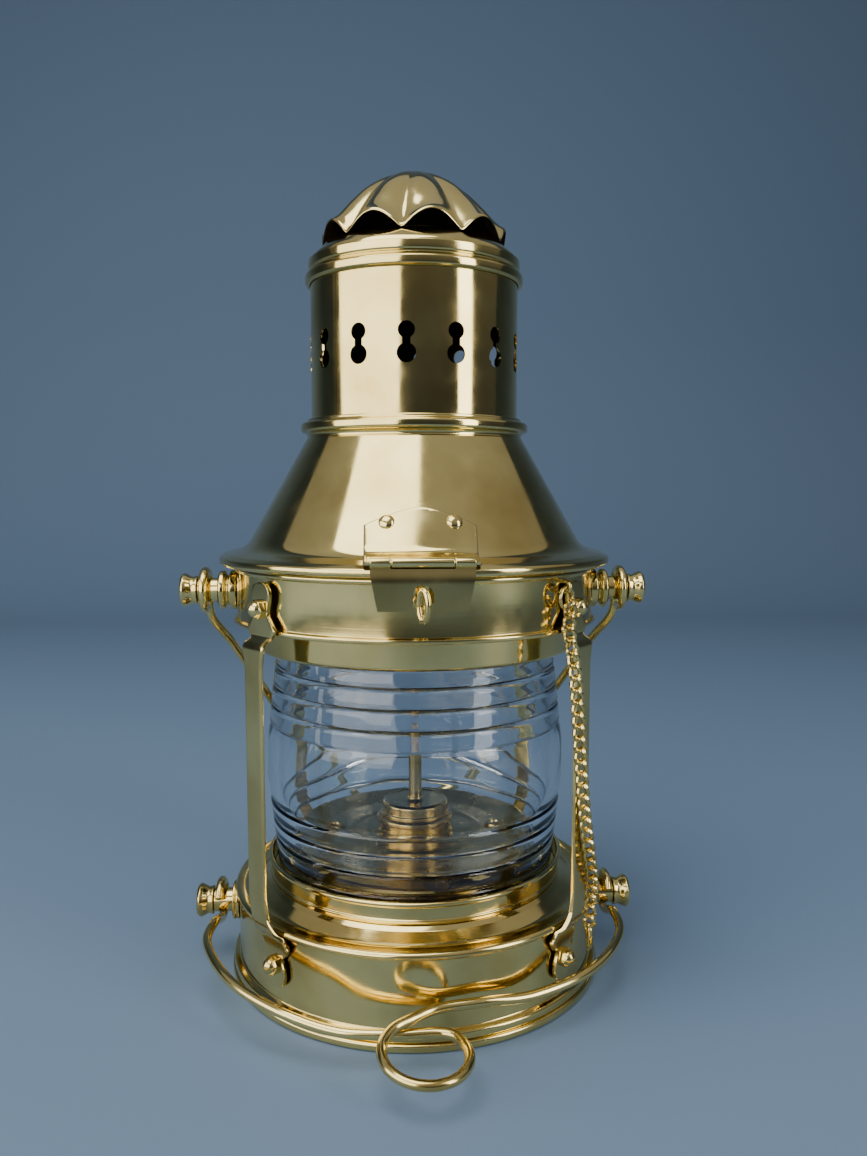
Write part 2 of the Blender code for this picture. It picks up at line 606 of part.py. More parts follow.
def make_hasp():
    """The plate riveted to the cone, the slotted leaf that hangs from it, and the staple."""
    bore = PIN_R + PIN_PLAY
    pin_at = Matrix.Translation((0, HASP_PIN_Y, HASP_PIN_Z))
    lower = hood_line(GAP)
    upper = hood_line(GAP + HASP_SHEET)
    edge_r = -HASP_PIN_Y - bore - SHEET / 2
    shell = upper + [(edge_r, upper[-1][1]), (edge_r, lower[-1][1])] + list(reversed(lower))
    plate = turned("hasp_plate", shell)
    foot_z = RIM_FOOT_Z
    waist_z = RIM_TOP_Z + KNUCKLE_R
    shoulder_z = waist_z + PLATE_SHOULDER
    outline = [(-PLATE_HALF, foot_z), (PLATE_HALF, foot_z), (PLATE_HALF, shoulder_z)]
    crest = waist_z + PLATE_ARCH
    for share in (0.75, 0.5, 0.25, 0.0, -0.25, -0.5, -0.75):
        outline.append((PLATE_HALF * share, shoulder_z + (crest - shoulder_z) * (1 - abs(share) ** 1.5)))
    outline.append((-PLATE_HALF, shoulder_z))
    prism = flat_mesh([outline], RIM_R)
    stand = Matrix.Translation((0, HASP_PIN_Y, 0)) @ Matrix.Rotation(pi / 2, 4, "X")
    boolean(plate, helper("hasp_plate_outline", prism, stand), "INTERSECT")
    barrel = knuckle_mesh(KNUCKLE_R, bore, -KNUCKLE_HALF, KNUCKLE_HALF)
    boolean(plate, helper("hasp_plate_knuckle", barrel, pin_at), "UNION")
    plate = baked(plate)

    leaf = flat_mesh([leaf_outline()], HASP_SHEET)
    leaf.transform(Matrix.Rotation(pi / 2, 4, "X"))
    leaf_object = keep("hasp_leaf", leaf, brass_for("hasp_leaf"))
    for side in (-1, 1):
        ends = sorted((side * (KNUCKLE_HALF + GAP), side * HASP_TOP_HALF))
        barrel = knuckle_mesh(KNUCKLE_R, bore, *ends)
        boolean(leaf_object, helper(f"leaf_knuckle_{side + 1}", barrel), "UNION")
    leaf_object = baked(leaf_object)
    leaf_object.location = (0, HASP_PIN_Y, HASP_PIN_Z)

    pin = wire_mesh([Vector((-HASP_TOP_HALF, 0, 0)), Vector((HASP_TOP_HALF, 0, 0))], PIN_R)
    keep("hasp_pin", pin, brass_for("hasp_pin")).location = (0, HASP_PIN_Y, HASP_PIN_Z)

    slope = Vector((CONE_FOOT_R - CONE_NECK_R, CONE_NECK_Z - CONE_FOOT_Z)).normalized()
    out = GAP * 2 + HASP_SHEET
    for side in (-1, 1):
        z = waist_z + RIVET_UP
        radius = CONE_NECK_R + (CONE_NECK_Z - z) * slope.x / slope.y
        azimuth = asin(side * RIVET_X / radius)
        tilt = Matrix.Rotation(-asin(slope.x), 4, "X")
        place = facing_out(azimuth, radius + out * slope.y, z + out * slope.x) @ tilt
        head = [(0, RIVET_H), (RIVET_R * 0.6, RIVET_H * 0.85), (RIVET_R, RIVET_H * 0.3), (RIVET_R, 0), (0, 0)]
        turned(f"hasp_rivet_{'left' if side < 0 else 'right'}", head, SMALL_STEPS, False, place)


def leaf_outline():
    """The hanging leaf seen from the front, below its hinge line, with the slot open at the foot."""
    top = -KNUCKLE_R - GAP
    low = -HASP_DROP
    slot_top = low + SLOT_RISE
    tab = KNUCKLE_HALF + GAP
    tab_foot = -PIN_R - PIN_PLAY - SHEET / 3
    half = arc(0, slot_top - SLOT_HALF, SLOT_HALF, 0, pi, 7)
    right = [(HASP_LOW_HALF, low), (HASP_TOP_HALF, top - KNUCKLE_R)]
    right += [(HASP_TOP_HALF, tab_foot), (tab, tab_foot)]
    left = [(-x, z) for x, z in reversed(right)]
    neck = [(tab, top), (-tab, top)]
    slot = [(-SLOT_HALF, low)] + list(reversed(half)) + [(SLOT_HALF, low)]
    return right + neck + left + slot


def make_staple():
    """An eye on a short stem that comes out of the band through the leaf's slot."""
    z = HASP_PIN_Z - HASP_DROP + STAPLE_UP
    oval = [Vector((0, STAPLE_HALF * x, STAPLE_TALL * y)) for x, y in ring(1, 18)]
    eye = wire_mesh(oval, STAPLE_WIRE, cyclic=True)
    turn = Matrix.Rotation(STAPLE_TWIST, 4, "Z")
    out = -HASP_PIN_Y + STAPLE_HALF + STAPLE_WIRE
    eye.transform(Matrix.Translation((0, -out, z)) @ turn)
    staple = keep("hasp_staple", eye, brass_for("hasp_staple"))
    near = out - STAPLE_HALF * cos(STAPLE_TWIST)
    stem = [Vector((0, -(BAND_R + GAP), z)), Vector((0, -near, z))]
    boolean(staple, helper("staple_stem", wire_mesh(stem, STAPLE_WIRE * 1.3)), "UNION")
    return baked(staple)


def make_rear_hinge():
    """Two leaves and a pin behind the lantern, on which the hood tips back."""
    bore = HINGE_PIN_R + PIN_PLAY
    pin_at = Matrix.Translation((0, HINGE_Y, HINGE_Z))
    reach = HINGE_Y - STRAP_PLATE_R
    spin = Matrix(((0, 0, 1, 0), (1, 0, 0, 0), (0, 1, 0, 0), (0, 0, 0, 1)))
    lower = [(-reach, -HINGE_KNUCKLE_R - SHEET), (-HINGE_KNUCKLE_R * 0.4, -HINGE_KNUCKLE_R - SHEET)]
    lower += [(-HINGE_KNUCKLE_R * 0.4, -bore - SHEET / 2), (HINGE_KNUCKLE_R * 0.4, -bore - SHEET / 2)]
    lower += [(HINGE_KNUCKLE_R * 0.4, -HINGE_KNUCKLE_R - SHEET - HASP_SHEET)]
    lower += [(-reach + HASP_SHEET, -HINGE_KNUCKLE_R - SHEET - HASP_SHEET)]
    lower += [(-reach + HASP_SHEET, -HINGE_LEAF - HINGE_KNUCKLE_R), (-reach, -HINGE_LEAF - HINGE_KNUCKLE_R)]
    leaf = keep("hinge_lower", flat_mesh([lower], 2 * HINGE_HALF), brass_for("hinge_lower"))
    leaf.data.transform(spin)
    for side in (-1, 1):
        ends = sorted((side * (HINGE_MIDDLE + GAP), side * HINGE_HALF))
        barrel = knuckle_mesh(HINGE_KNUCKLE_R, bore, *ends)
        boolean(leaf, helper(f"hinge_lower_knuckle_{side + 1}", barrel), "UNION")
    middle = (2 * (HINGE_MIDDLE + GAP), 3 * HINGE_KNUCKLE_R, 3 * HINGE_KNUCKLE_R)
    boolean(leaf, helper("hinge_lower_notch", box_mesh(middle, (0, HINGE_KNUCKLE_R * 0.6, 0))), "DIFFERENCE")
    baked(leaf).matrix_world = pin_at

    rise = hood_line(GAP)[2][1] - HINGE_Z
    inner_rise = hood_line(GAP)[1][1] - HINGE_Z
    back = HINGE_Y - CONE_FOOT_R - HASP_SHEET
    upper = [(HINGE_KNUCKLE_R * 0.4, bore + SHEET / 2), (HINGE_KNUCKLE_R * 0.4, rise + HASP_SHEET)]
    upper += [(-back, inner_rise + HASP_SHEET), (-back, inner_rise), (RIM_TOP_R - SHEET - HINGE_Y, rise)]
    upper += [(-HINGE_KNUCKLE_R * 0.4 - HASP_SHEET, rise), (-HINGE_KNUCKLE_R * 0.4, bore + SHEET / 2)]
    strap = keep("hinge_upper", flat_mesh([upper], 2 * HINGE_HALF), brass_for("hinge_upper"))
    strap.data.transform(spin)
    barrel = knuckle_mesh(HINGE_KNUCKLE_R, bore, -HINGE_MIDDLE, HINGE_MIDDLE)
    boolean(strap, helper("hinge_upper_knuckle", barrel), "UNION")
    for side in (-1, 1):
        centre = (side * (HINGE_HALF + HINGE_MIDDLE + GAP) / 2, 0, 0)
        side_box = (HINGE_HALF - HINGE_MIDDLE + GAP, 2 * (HINGE_KNUCKLE_R + GAP), 2 * (HINGE_KNUCKLE_R + GAP))
        boolean(strap, helper(f"hinge_upper_notch_{side + 1}", box_mesh(side_box, centre)), "DIFFERENCE")
    baked(strap).matrix_world = pin_at
    pin = wire_mesh([Vector((-HINGE_HALF, 0, 0)), Vector((HINGE_HALF, 0, 0))], HINGE_PIN_R)
    keep("hinge_pin", pin, brass_for("hinge_pin")).matrix_world = pin_at


def strap_stations():
    """Height, half width, stand-off from the upper plate's plane and sideways shift, top to bottom."""
    top = UPPER_PIVOT_Z - BAIL_WIRE + PLATE_TALL / 2 - GAP
    bend = BAND_FOOT_Z - STRAP_JOGGLE
    stations = [(top - PLATE_TALL * share, LOBE_HALF * wide) for share, wide in (
        (0.0, 0.45), (0.07, 0.82), (0.2, 1.0), (0.38, 0.96))]
    stations += [(top - PLATE_TALL * 0.52, WAIST_HALF), (top - PLATE_TALL * 0.68, FLARE_HALF * 0.72)]
    stations += [(top - PLATE_TALL * 0.86, FLARE_HALF), (top - PLATE_TALL, FLARE_HALF * 0.82)]
    rows = [(z, half, 0.0, 0.0) for z, half in stations]
    rows += [(bend + STRAP_JOGGLE * 0.5, FLARE_HALF * 0.62, STRAP_OUT * 0.35, 0.0)]
    rows += [(bend, STRAP_HALF * 1.25, STRAP_OUT, 0.0), (bend - 2 * STRAP_JOGGLE, STRAP_HALF, STRAP_OUT, 0.0)]
    fold = SHELF_Z + STRAP_JOGGLE
    rows += [(fold + 2 * STRAP_JOGGLE, STRAP_HALF, STRAP_OUT, 0.0)]
    rows += [(fold, STRAP_HALF, STRAP_OUT, LOWER_SHIFT * 0.25)]
    rows += [(SHELF_Z - STRAP_JOGGLE * 0.2, STRAP_HALF * 1.2, STRAP_OUT * 0.72, LOWER_SHIFT * 0.6)]
    foot = SHELF_Z - SHELF_ROLL - 2 * GAP
    lobes = ((0.0, 0.68), (0.12, 1.0), (0.26, 0.84), (0.4, 0.55))
    lobes += ((0.55, 0.68), (0.72, 0.72), (0.86, 0.6), (0.93, 0.34))
    rows += [(foot - PLATE_TALL * share, FLARE_HALF * wide, 0.0, LOWER_SHIFT) for share, wide in lobes]
    return rows


def make_guards():
    """The four straps that guard the lens, each with a domed nut through both lobed ends."""
    rows = strap_stations()
    names = ("front_right", "rear_right", "rear_left", "front_left")
    for name, azimuth in zip(names, STRAP_AZIMUTHS):
        fore = 1 if name in ("rear_right", "front_left") else -1
        cage = bmesh.new()
        bmesh.ops.create_grid(cage, x_segments=2, y_segments=len(rows) - 1, size=1)
        for vertex in cage.verts:
            row = round((1 - vertex.co.y) / 2 * (len(rows) - 1))
            z, half, out, shift = rows[row]
            vertex.co = (half * vertex.co.x + fore * shift, -(STRAP_PLATE_R + out), z)
        mesh = bpy.data.meshes.new("guard_" + name)
        cage.to_mesh(mesh)
        cage.free()
        strap = keep("guard_" + name, mesh, brass_for("guard_" + name))
        strap.rotation_euler.z = azimuth
        sheet = strap.modifiers.new("sheet", "SOLIDIFY")
        sheet.thickness = STRAP_T
        sheet.offset = 1.0
        nut = [(0, NUT_H), (NUT_R * 0.45, NUT_H * 0.92), (NUT_R * 0.78, NUT_H * 0.66)]
        nut += [(NUT_R * 0.82, NUT_H * 0.42), (NUT_R, NUT_H * 0.38), (NUT_R, 0), (0, 0)]
        face = STRAP_PLATE_R + STRAP_T + GAP
        foot_z = rows[-1][0] + PLATE_TALL * 0.4
        for level, z, side in (("upper", UPPER_PIVOT_Z - BAIL_WIRE, 0.0), ("lower", foot_z, LOWER_SHIFT)):
            place = facing_out(azimuth, face, z) @ Matrix.Translation((fore * side, 0, 0))
            turned(f"nut_{level}_{name}", nut, SMALL_STEPS, False, place)


def make_pivots():
    """A grooved boss and shank on each side of both bands, each with a waisted knob on its end."""
    knob = [(0, KNOB_LONG), (KNOB_R * 0.85, KNOB_LONG), (KNOB_R, KNOB_LONG * 0.85)]
    knob += [(KNOB_R * 0.92, KNOB_LONG * 0.66), (KNOB_WAIST_R, KNOB_LONG * 0.3)]
    knob += [(KNOB_WAIST_R * 1.12, 0), (0, 0)]
    upper = ("upper", UPPER_PIVOT_Z, BAND_R, BOSS_LONG, SHANK_LONG)
    lower = ("lower", LOWER_PIVOT_Z, BASE_WALL_R, LOWER_BOSS_LONG, LOWER_SHANK_LONG)
    for level, z, wall, long, shank in (upper, lower):
        start = wall + GAP
        stretch = long + shank
        groove = BOSS_GROOVE * long / BOSS_LONG
        groove_r = BOSS_R - groove
        low = long * 0.4
        high = low + groove
        boss = [(0, stretch), (SHANK_R, stretch), (SHANK_R, long), (BOSS_R, long)]
        boss += [(BOSS_R, high), (groove_r, high), (groove_r, low), (BOSS_R, low), (BOSS_R, 0), (0, 0)]
        for side, azimuth in (("right", pi / 2), ("left", -pi / 2)):
            boss_at = facing_out(azimuth, start, z)
            turned(f"bail_boss_{level}_{side}", boss, SMALL_STEPS, False, boss_at)
            knob_at = facing_out(azimuth, start + stretch + GAP, z)
            turned(f"bail_knob_{level}_{side}", knob, SMALL_STEPS, False, knob_at)


def bail_route(pivot_x, shares_left, shares_right, reach, over):
    """Points of one wire: an eye, an arm, a full ring loop in the middle, the other arm and its eye.

    X runs along the pivots, -Z away from them, and Y is across the bail's plane. The right arm
    crosses on the +Y side of the left one where over is 1, and on the -Y side where it is -1.
    """
    def eye(side):
        angles = [radians(a) for a in (330, 290, 250, 210, 170, 130, 95, 62)]
        return [Vector((side * pivot_x, EYE_R * sin(a), -EYE_R * cos(a))) for a in angles]

    def arm(side, shares):
        return [Vector((side * pivot_x * x, 0, -reach * s)) for x, s in shares]

    step = over * (BAIL_WIRE + 2 * GAP)
    centre = -(reach + LOOP_R - LOOP_SIDESTEP / 2)
    turns = [radians(a) for a in (60, 25, -10, -45, -80, -115, -150, -185, -220, -252)]
    loop = []
    for i, angle in enumerate(turns):
        across = step * (2 * i / (len(turns) - 1) - 1)
        loop.append(Vector((LOOP_R * cos(angle), across, centre + LOOP_R * sin(angle))))
    left = arm(-1, shares_left)
    left[-1].y = left[-2].y = -step
    right = arm(1, shares_right)
    right[-1].y = right[-2].y = step
    points = eye(-1) + left + loop + list(reversed(right)) + list(reversed(eye(1)))
    return smooth_route(points, BAIL_STEPS)


# Each arm, as shares of the pivot's distance from the middle and of the bail's reach
UPPER_START = ((1.0, 0.09), (0.917, 0.2), (0.759, 0.45), (0.611, 0.68))
UPPER_LEFT_SHARES = UPPER_START + ((0.473, 0.86), (0.247, 0.975), (0.079, 1.0))
UPPER_RIGHT_SHARES = UPPER_START + ((0.454, 0.85), (0.237, 0.945), (0.059, 0.97))
LOWER_LEFT_SHARES = (
    (1.0, 0.2), (1.011, 0.36), (0.918, 0.57), (0.783, 0.74), (0.577, 0.9), (0.351, 0.975), (0.104, 1.0),
)
LOWER_RIGHT_SHARES = (
    (1.0, 0.2), (0.989, 0.36), (0.887, 0.54), (0.722, 0.7), (0.484, 0.82), (0.268, 0.89), (0.062, 0.925),
)


def make_bails():
    """The tall carrying bail, lying back on the table, and the short lower one, held out in front."""
    far = UPPER_REACH + 2 * LOOP_R - LOOP_SIDESTEP / 2
    lean = acos((UPPER_PIVOT_Z - BAIL_WIRE - 2 * GAP) / far)
    upper_route = bail_route(UPPER_PIVOT_X, UPPER_LEFT_SHARES, UPPER_RIGHT_SHARES, UPPER_REACH, 1)
    upper = keep("upper_bail", wire_mesh(upper_route, BAIL_WIRE), brass_for("upper_bail"))
    upper.location.z = UPPER_PIVOT_Z
    upper.rotation_euler.x = lean
    lower_route = bail_route(LOWER_PIVOT_X, LOWER_LEFT_SHARES, LOWER_RIGHT_SHARES, LOWER_REACH, -1)
    lower = keep("lower_bail", wire_mesh(lower_route, BAIL_WIRE), brass_for("lower_bail"))
    lower.location.z = LOWER_PIVOT_Z
    lower.rotation_euler.x = -(pi / 2 - LOWER_DROP)


def make_burner():
    """The oil font in the base, with its burner, wick tube and wick."""
    dark = finish("font_brass", DARK_BRASS, 1.0, 0.25)
    floor = BASE_PLATE_T + GAP
    shoulder = FONT_TOP_Z - FONT_SHOULDER
    dish = FONT_TOP_Z - FONT_DISH
    body = [(0, dish), (FONT_R * 0.8, dish), (FONT_LIP_R - 2 * SHEET, FONT_TOP_Z)]
    body += [(FONT_LIP_R, FONT_TOP_Z), (FONT_LIP_R, FONT_TOP_Z - SHEET)]
    body += [(FONT_R, shoulder), (FONT_R, floor), (0, floor)]
    turned("font_body", body, closed=False, material=dark)
    seat = dish + GAP
    step = seat + BURNER_FLANGE_T
    crown = step + BURNER_TALL
    collar = [(0, step), (BURNER_FLANGE_R - SHEET, step), (BURNER_FLANGE_R, step - SHEET)]
    collar += [(BURNER_FLANGE_R, seat), (0, seat)]
    turned("font_collar", collar, 24, False, material=dark)
    low = step + GAP
    cap = [(0, crown), (BURNER_R * 0.9, crown), (BURNER_R, crown - SHEET), (BURNER_R, low + 2.5 * SHEET)]
    cap += [(BURNER_R + SHEET, low + 2 * SHEET), (BURNER_R + SHEET, low), (0, low)]
    turned("burner_cap", cap, 24, False, material=dark)
    tube_foot = crown + GAP
    tube_top = tube_foot + WICK_TUBE_LONG
    tube = [(0, tube_top), (WICK_TUBE_R, tube_top), (WICK_TUBE_R, tube_foot), (0, tube_foot)]
    turned("wick_tube", tube, SMALL_STEPS, False, material=dark)
    wick_foot = tube_top + GAP
    wick = [(0, wick_foot + WICK_LONG), (WICK_R, wick_foot + WICK_LONG), (WICK_R, wick_foot), (0, wick_foot)]
    turned("wick", wick, SMALL_STEPS, False, material=finish("wick_cotton", WICK_WHITE, 0.0, 0.8))


def make_chain():
    """The keeper chain's eye on the band, its ring, the hanging chain and the pin on its end."""
    eye_z = BAND_TOP_Z - BAND_BEAD_Z - CHAIN_EYE_R - CHAIN_EYE_WIRE - GAP
    eye_at = facing_out(CHAIN_AZIMUTH, BAND_R + GAP, eye_z)
    ring_out = STRAP_PLATE_R + STRAP_T + GAP + CHAIN_RING_WIRE
    hang = CHAIN_EYE_R - CHAIN_EYE_WIRE - CHAIN_RING_WIRE - GAP
    leg = ring_out - hang - BAND_R - GAP
    bow = [Vector((0, y, leg + x)) for x, y in arc(0, 0, CHAIN_EYE_R, -pi / 2, pi / 2, 9)]
    path = [Vector((0, -CHAIN_EYE_R, 0))] + bow + [Vector((0, CHAIN_EYE_R, 0))]
    eye = keep("chain_eye", wire_mesh(path, CHAIN_EYE_WIRE), brass_for("chain_eye"))
    eye.matrix_world = eye_at
    ring_z = eye_z - CHAIN_RING_R
    loop = [Vector((x, y, 0)) for x, y in ring(CHAIN_RING_R, 20)]
    chain_ring = keep("chain_ring", wire_mesh(loop, CHAIN_RING_WIRE, cyclic=True), brass_for("chain_ring"))
    chain_ring.matrix_world = facing_out(CHAIN_AZIMUTH, ring_out, ring_z)
    near_r = STRAP_PLATE_R + STRAP_T + 4 * GAP + CHAIN_HALF
    foot_z = SHELF_Z - 2 * SHELF_ROLL
    drop = ring_z - CHAIN_RING_R - CHAIN_RING_WIRE - 2 * GAP - foot_z
    route = [
        round_way(radians(azimuth), near_r + STRAP_OUT * out, foot_z + drop * up)
        for azimuth, out, up in CHAIN_ROUTE_SHARES
    ]
    chain = wire_mesh(smooth_route(route, 34), CHAIN_HALF)
    keep("keeper_chain", chain, brass_for("keeper_chain"))
    pin = [(0, 0), (CHAIN_PIN_R * 0.7, 0), (CHAIN_PIN_R, -CHAIN_PIN_R)]
    pin += [(CHAIN_PIN_R, -CHAIN_PIN_LONG), (0, -CHAIN_PIN_LONG)]
    place = Matrix.Translation(route[-1] - Vector((0, 0, GAP)))
    turned("locking_pin", pin, SMALL_STEPS, False, place)


make_base()
make_lens()
make_upper_band()
make_hood()
make_chimney()
make_cap()
make_hasp()
make_staple()
make_rear_hinge()
make_guards()
make_pivots()
make_bails()
make_burner()
make_chain()
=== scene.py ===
"""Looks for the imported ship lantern: polished brass, a ribbed glass lens and a hanging keeper chain."""

from math import asin, atan2, ceil, cos, hypot, inf, pi, radians, sin, tan, tau

import bmesh
import bpy
from mathutils import Matrix, Vector
from mathutils.geometry import delaunay_2d_cdt


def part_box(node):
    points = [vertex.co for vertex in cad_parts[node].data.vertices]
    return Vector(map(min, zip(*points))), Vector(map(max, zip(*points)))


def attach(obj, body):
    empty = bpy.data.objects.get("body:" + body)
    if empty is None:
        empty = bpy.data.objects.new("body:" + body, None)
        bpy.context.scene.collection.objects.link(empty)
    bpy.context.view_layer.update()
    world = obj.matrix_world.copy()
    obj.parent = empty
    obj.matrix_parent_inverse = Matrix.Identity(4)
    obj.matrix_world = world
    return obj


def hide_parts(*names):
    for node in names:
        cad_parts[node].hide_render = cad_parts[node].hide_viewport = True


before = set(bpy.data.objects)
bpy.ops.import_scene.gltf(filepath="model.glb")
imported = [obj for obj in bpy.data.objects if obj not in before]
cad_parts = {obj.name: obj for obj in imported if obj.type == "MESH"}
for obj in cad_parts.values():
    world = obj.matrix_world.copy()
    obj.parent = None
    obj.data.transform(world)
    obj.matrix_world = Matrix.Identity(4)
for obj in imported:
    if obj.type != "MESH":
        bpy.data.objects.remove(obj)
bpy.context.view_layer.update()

# Camera and studio. The camera stands where the photographer's did, a little above the lens and
# three degrees to the left of the hasp. The floor and its sweep are plain slate-blue card, under
# three soft boxes and a dim room that gives polished metal something dark to mirror.
MM = 0.001
VIEW_HEIGHT_PX, FOCAL_PX = 1156, 944
AIM = Vector((0, 0, 0.2))
SWEEP_R, SWEEP_Y, SWEEP_TOP, FLOOR_HALF = 0.6, 1.1, 2.5, 12
SKY_LOW, SKY_HIGH = (0.07, 0.08, 0.10, 1), (0.8, 0.8, 0.8, 1)
SKY_STOPS = ((0.15, (0.12, 0.13, 0.15, 1)), (0.5, (0.50, 0.50, 0.50, 1)))


def new_object(name, data):
    obj = bpy.data.objects.new(name, data)
    bpy.context.collection.objects.link(obj)
    return obj


def mesh_of(name, points, faces):
    mesh = bpy.data.meshes.new(name)
    mesh.from_pydata(points, [], faces)
    return mesh


def spread(start, end, count):
    """Even steps from start to end, both of which are in."""
    return [start + (end - start) * i / (count - 1) for i in range(count)]


def feed(tree, node, feeds):
    """Gives each of a node's inputs, by name or number, a link from a socket or a fixed value."""
    for socket, source in dict(feeds).items():
        if isinstance(source, bpy.types.NodeSocket):
            tree.links.new(source, node.inputs[socket])
        else:
            node.inputs[socket].default_value = source


def add(tree, kind, feeds=(), **settings):
    """The outputs of a new node that has its settings made and its inputs fed."""
    node = tree.nodes.new(kind)
    for name, value in settings.items():
        setattr(node, name, value)
    feed(tree, node, feeds)
    return node.outputs


def new_material(name):
    """A material with its node tree and its Principled node."""
    material = bpy.data.materials.new(name)
    material.use_nodes = True
    return material, material.node_tree, material.node_tree.nodes["Principled BSDF"]


def soft_box(name, place, size, power, tint=(1, 1, 1)):
    lamp = bpy.data.lights.new(name, "AREA")
    lamp.shape = "RECTANGLE"
    lamp.size, lamp.size_y = size
    lamp.energy, lamp.color = power, tint
    light = new_object(name, lamp)
    light.location = place
    light.rotation_euler = (AIM - Vector(place)).to_track_quat("-Z", "Y").to_euler()


camera_data = bpy.data.cameras.new("camera")
camera_data.sensor_fit, camera_data.sensor_height = "VERTICAL", 36
camera_data.lens = camera_data.sensor_height * FOCAL_PX / VIEW_HEIGHT_PX
camera = new_object("camera", camera_data)
camera.location = (-14.6 * MM, -428.3 * MM, 218.3 * MM)
camera.rotation_euler = (radians(84.41), 0, radians(-3.1))
bpy.context.scene.camera = camera
soft_box("wide_left_light", (-1.1, -0.85, 0.6), (2.0, 1.1), 24, (1, 0.97, 0.92))
soft_box("narrow_right_light", (0.95, -0.7, 0.6), (0.35, 1.0), 7)
soft_box("top_light", (-0.3, -0.35, 1.35), (1.0, 0.9), 11)

world = bpy.data.worlds.new("studio")
bpy.context.scene.world = world
world.use_nodes = True
sky = world.node_tree
sky_split = add(sky, "ShaderNodeSeparateXYZ", {0: add(sky, "ShaderNodeTexCoord")["Generated"]})
sky_shade = add(sky, "ShaderNodeValToRGB", {0: sky_split["Z"]})[0]
stops = sky_shade.node.color_ramp.elements
stops[0].color, stops[1].color = SKY_LOW, SKY_HIGH
for at, shade in SKY_STOPS:
    stops.new(at).color = shade
feed(sky, sky.nodes["Background"], {"Color": sky_shade, "Strength": 0.5})

sweep = [(-FLOOR_HALF, 0)]
sweep += [(SWEEP_Y + SWEEP_R * sin(a), SWEEP_R * (1 - cos(a))) for a in spread(0, pi / 2, 17)]
sweep.append((SWEEP_Y + SWEEP_R, SWEEP_TOP))
floor_mesh = mesh_of(
    "floor", [(x, y, z) for x in (-FLOOR_HALF, FLOOR_HALF) for y, z in sweep],
    [(i, len(sweep) + i, len(sweep) + i + 1, i + 1) for i in range(len(sweep) - 1)],
)
floor_mesh.shade_smooth()
card, card_tree, card_surface = new_material("blue_card")
feed(card_tree, card_surface, {"Base Color": (0.13, 0.20, 0.30, 1), "Roughness": 0.7})
floor_mesh.materials.append(card)
new_object("floor", floor_mesh)

# Base can: spun from one sheet, with a doubled bead rolled round the foot, and closed below by a
# pan. Its brass is mirror-polished, with faint lathe lines, slow ripples left by the spinning
# tool, and a skin of fingermarks and light tarnish.
BRIGHT_BRASS, DEEP_BRASS, SOOT = (0.84, 0.68, 0.27, 1), (0.60, 0.44, 0.14, 1), (0.05, 0.035, 0.022, 1)
LANTERN = "lantern"


def noise(tree, scale, detail, vector):
    return add(tree, "ShaderNodeTexNoise", {"Scale": scale, "Detail": detail, "Vector": vector})["Fac"]


def mapped(tree, value, low, high, to_low, to_high):
    feeds = {"Value": value, "From Min": low, "From Max": high, "To Min": to_low, "To Max": to_high}
    return add(tree, "ShaderNodeMapRange", feeds)["Result"]


def bumped(tree, height, strength, distance, normal=None):
    feeds = {"Strength": strength, "Distance": distance, "Height": height}
    if normal is not None:
        feeds["Normal"] = normal
    return add(tree, "ShaderNodeBump", feeds)["Normal"]


def round_axis(tree, vector):
    """Distance from the lantern's axis and height, so that a pattern runs round a turned piece."""
    split = add(tree, "ShaderNodeSeparateXYZ", {0: vector})
    flat = add(tree, "ShaderNodeCombineXYZ", {"X": split["X"], "Y": split["Y"]})
    reach = add(tree, "ShaderNodeVectorMath", {0: flat[0]}, operation="LENGTH")
    return add(tree, "ShaderNodeCombineXYZ", {"X": reach["Value"], "Z": split["Z"]})[0]


def blended(tree, factor, first, second):
    """A colour between two, each of which is a colour or a socket."""
    feeds = {"Factor": factor, "A": first, "B": second}
    return add(tree, "ShaderNodeMix", feeds, data_type="RGBA")["Result"]


def facing_inwards(tree, coord):
    """One where a surface looks at the lantern's axis, as the insides of its shells do."""
    flat = add(tree, "ShaderNodeVectorMath", {0: coord["Object"], 1: (1, 1, 0)}, operation="MULTIPLY")
    unit = add(tree, "ShaderNodeVectorMath", {0: flat[0]}, operation="NORMALIZE")
    look = add(tree, "ShaderNodeVectorMath", {0: unit[0], 1: coord["Normal"]}, operation="DOT_PRODUCT")
    return mapped(tree, look["Value"], -0.15, -0.45, 0.0, 1.0)


def brass(name, bright, deep, polish, worn, lathe=0.0, ripple=0.0, sooty=False):
    """Polished brass: tarnish in its colour, smears in its gloss, lathe lines, ripples and inner soot."""
    material, tree, surface = new_material(name)
    coord = add(tree, "ShaderNodeTexCoord")
    here = coord["Object"]
    tarnish = mapped(tree, noise(tree, 26, 6, here), 0.42, 0.72, 0.0, 1.0)
    colour = blended(tree, tarnish, bright, deep)
    smear = mapped(tree, noise(tree, 85, 5, here), 0.35, 0.75, polish, worn)
    if sooty:
        inner = facing_inwards(tree, coord)
        colour = blended(tree, inner, colour, SOOT)
        smear = add(tree, "ShaderNodeMath", {0: inner, 1: 0.55, 2: smear}, operation="MULTIPLY_ADD")[0]
    normal = bumped(tree, noise(tree, 900, 3, here), 0.06, 0.02 * MM)
    if lathe:
        normal = bumped(tree, noise(tree, 1400, 2, round_axis(tree, here)), lathe, 0.03 * MM, normal)
    if ripple:
        normal = bumped(tree, noise(tree, 21, 1, here), ripple, 1.2 * MM, normal)
    feed(tree, surface, {"Metallic": 1.0, "Base Color": colour, "Roughness": smear, "Normal": normal})
    return material


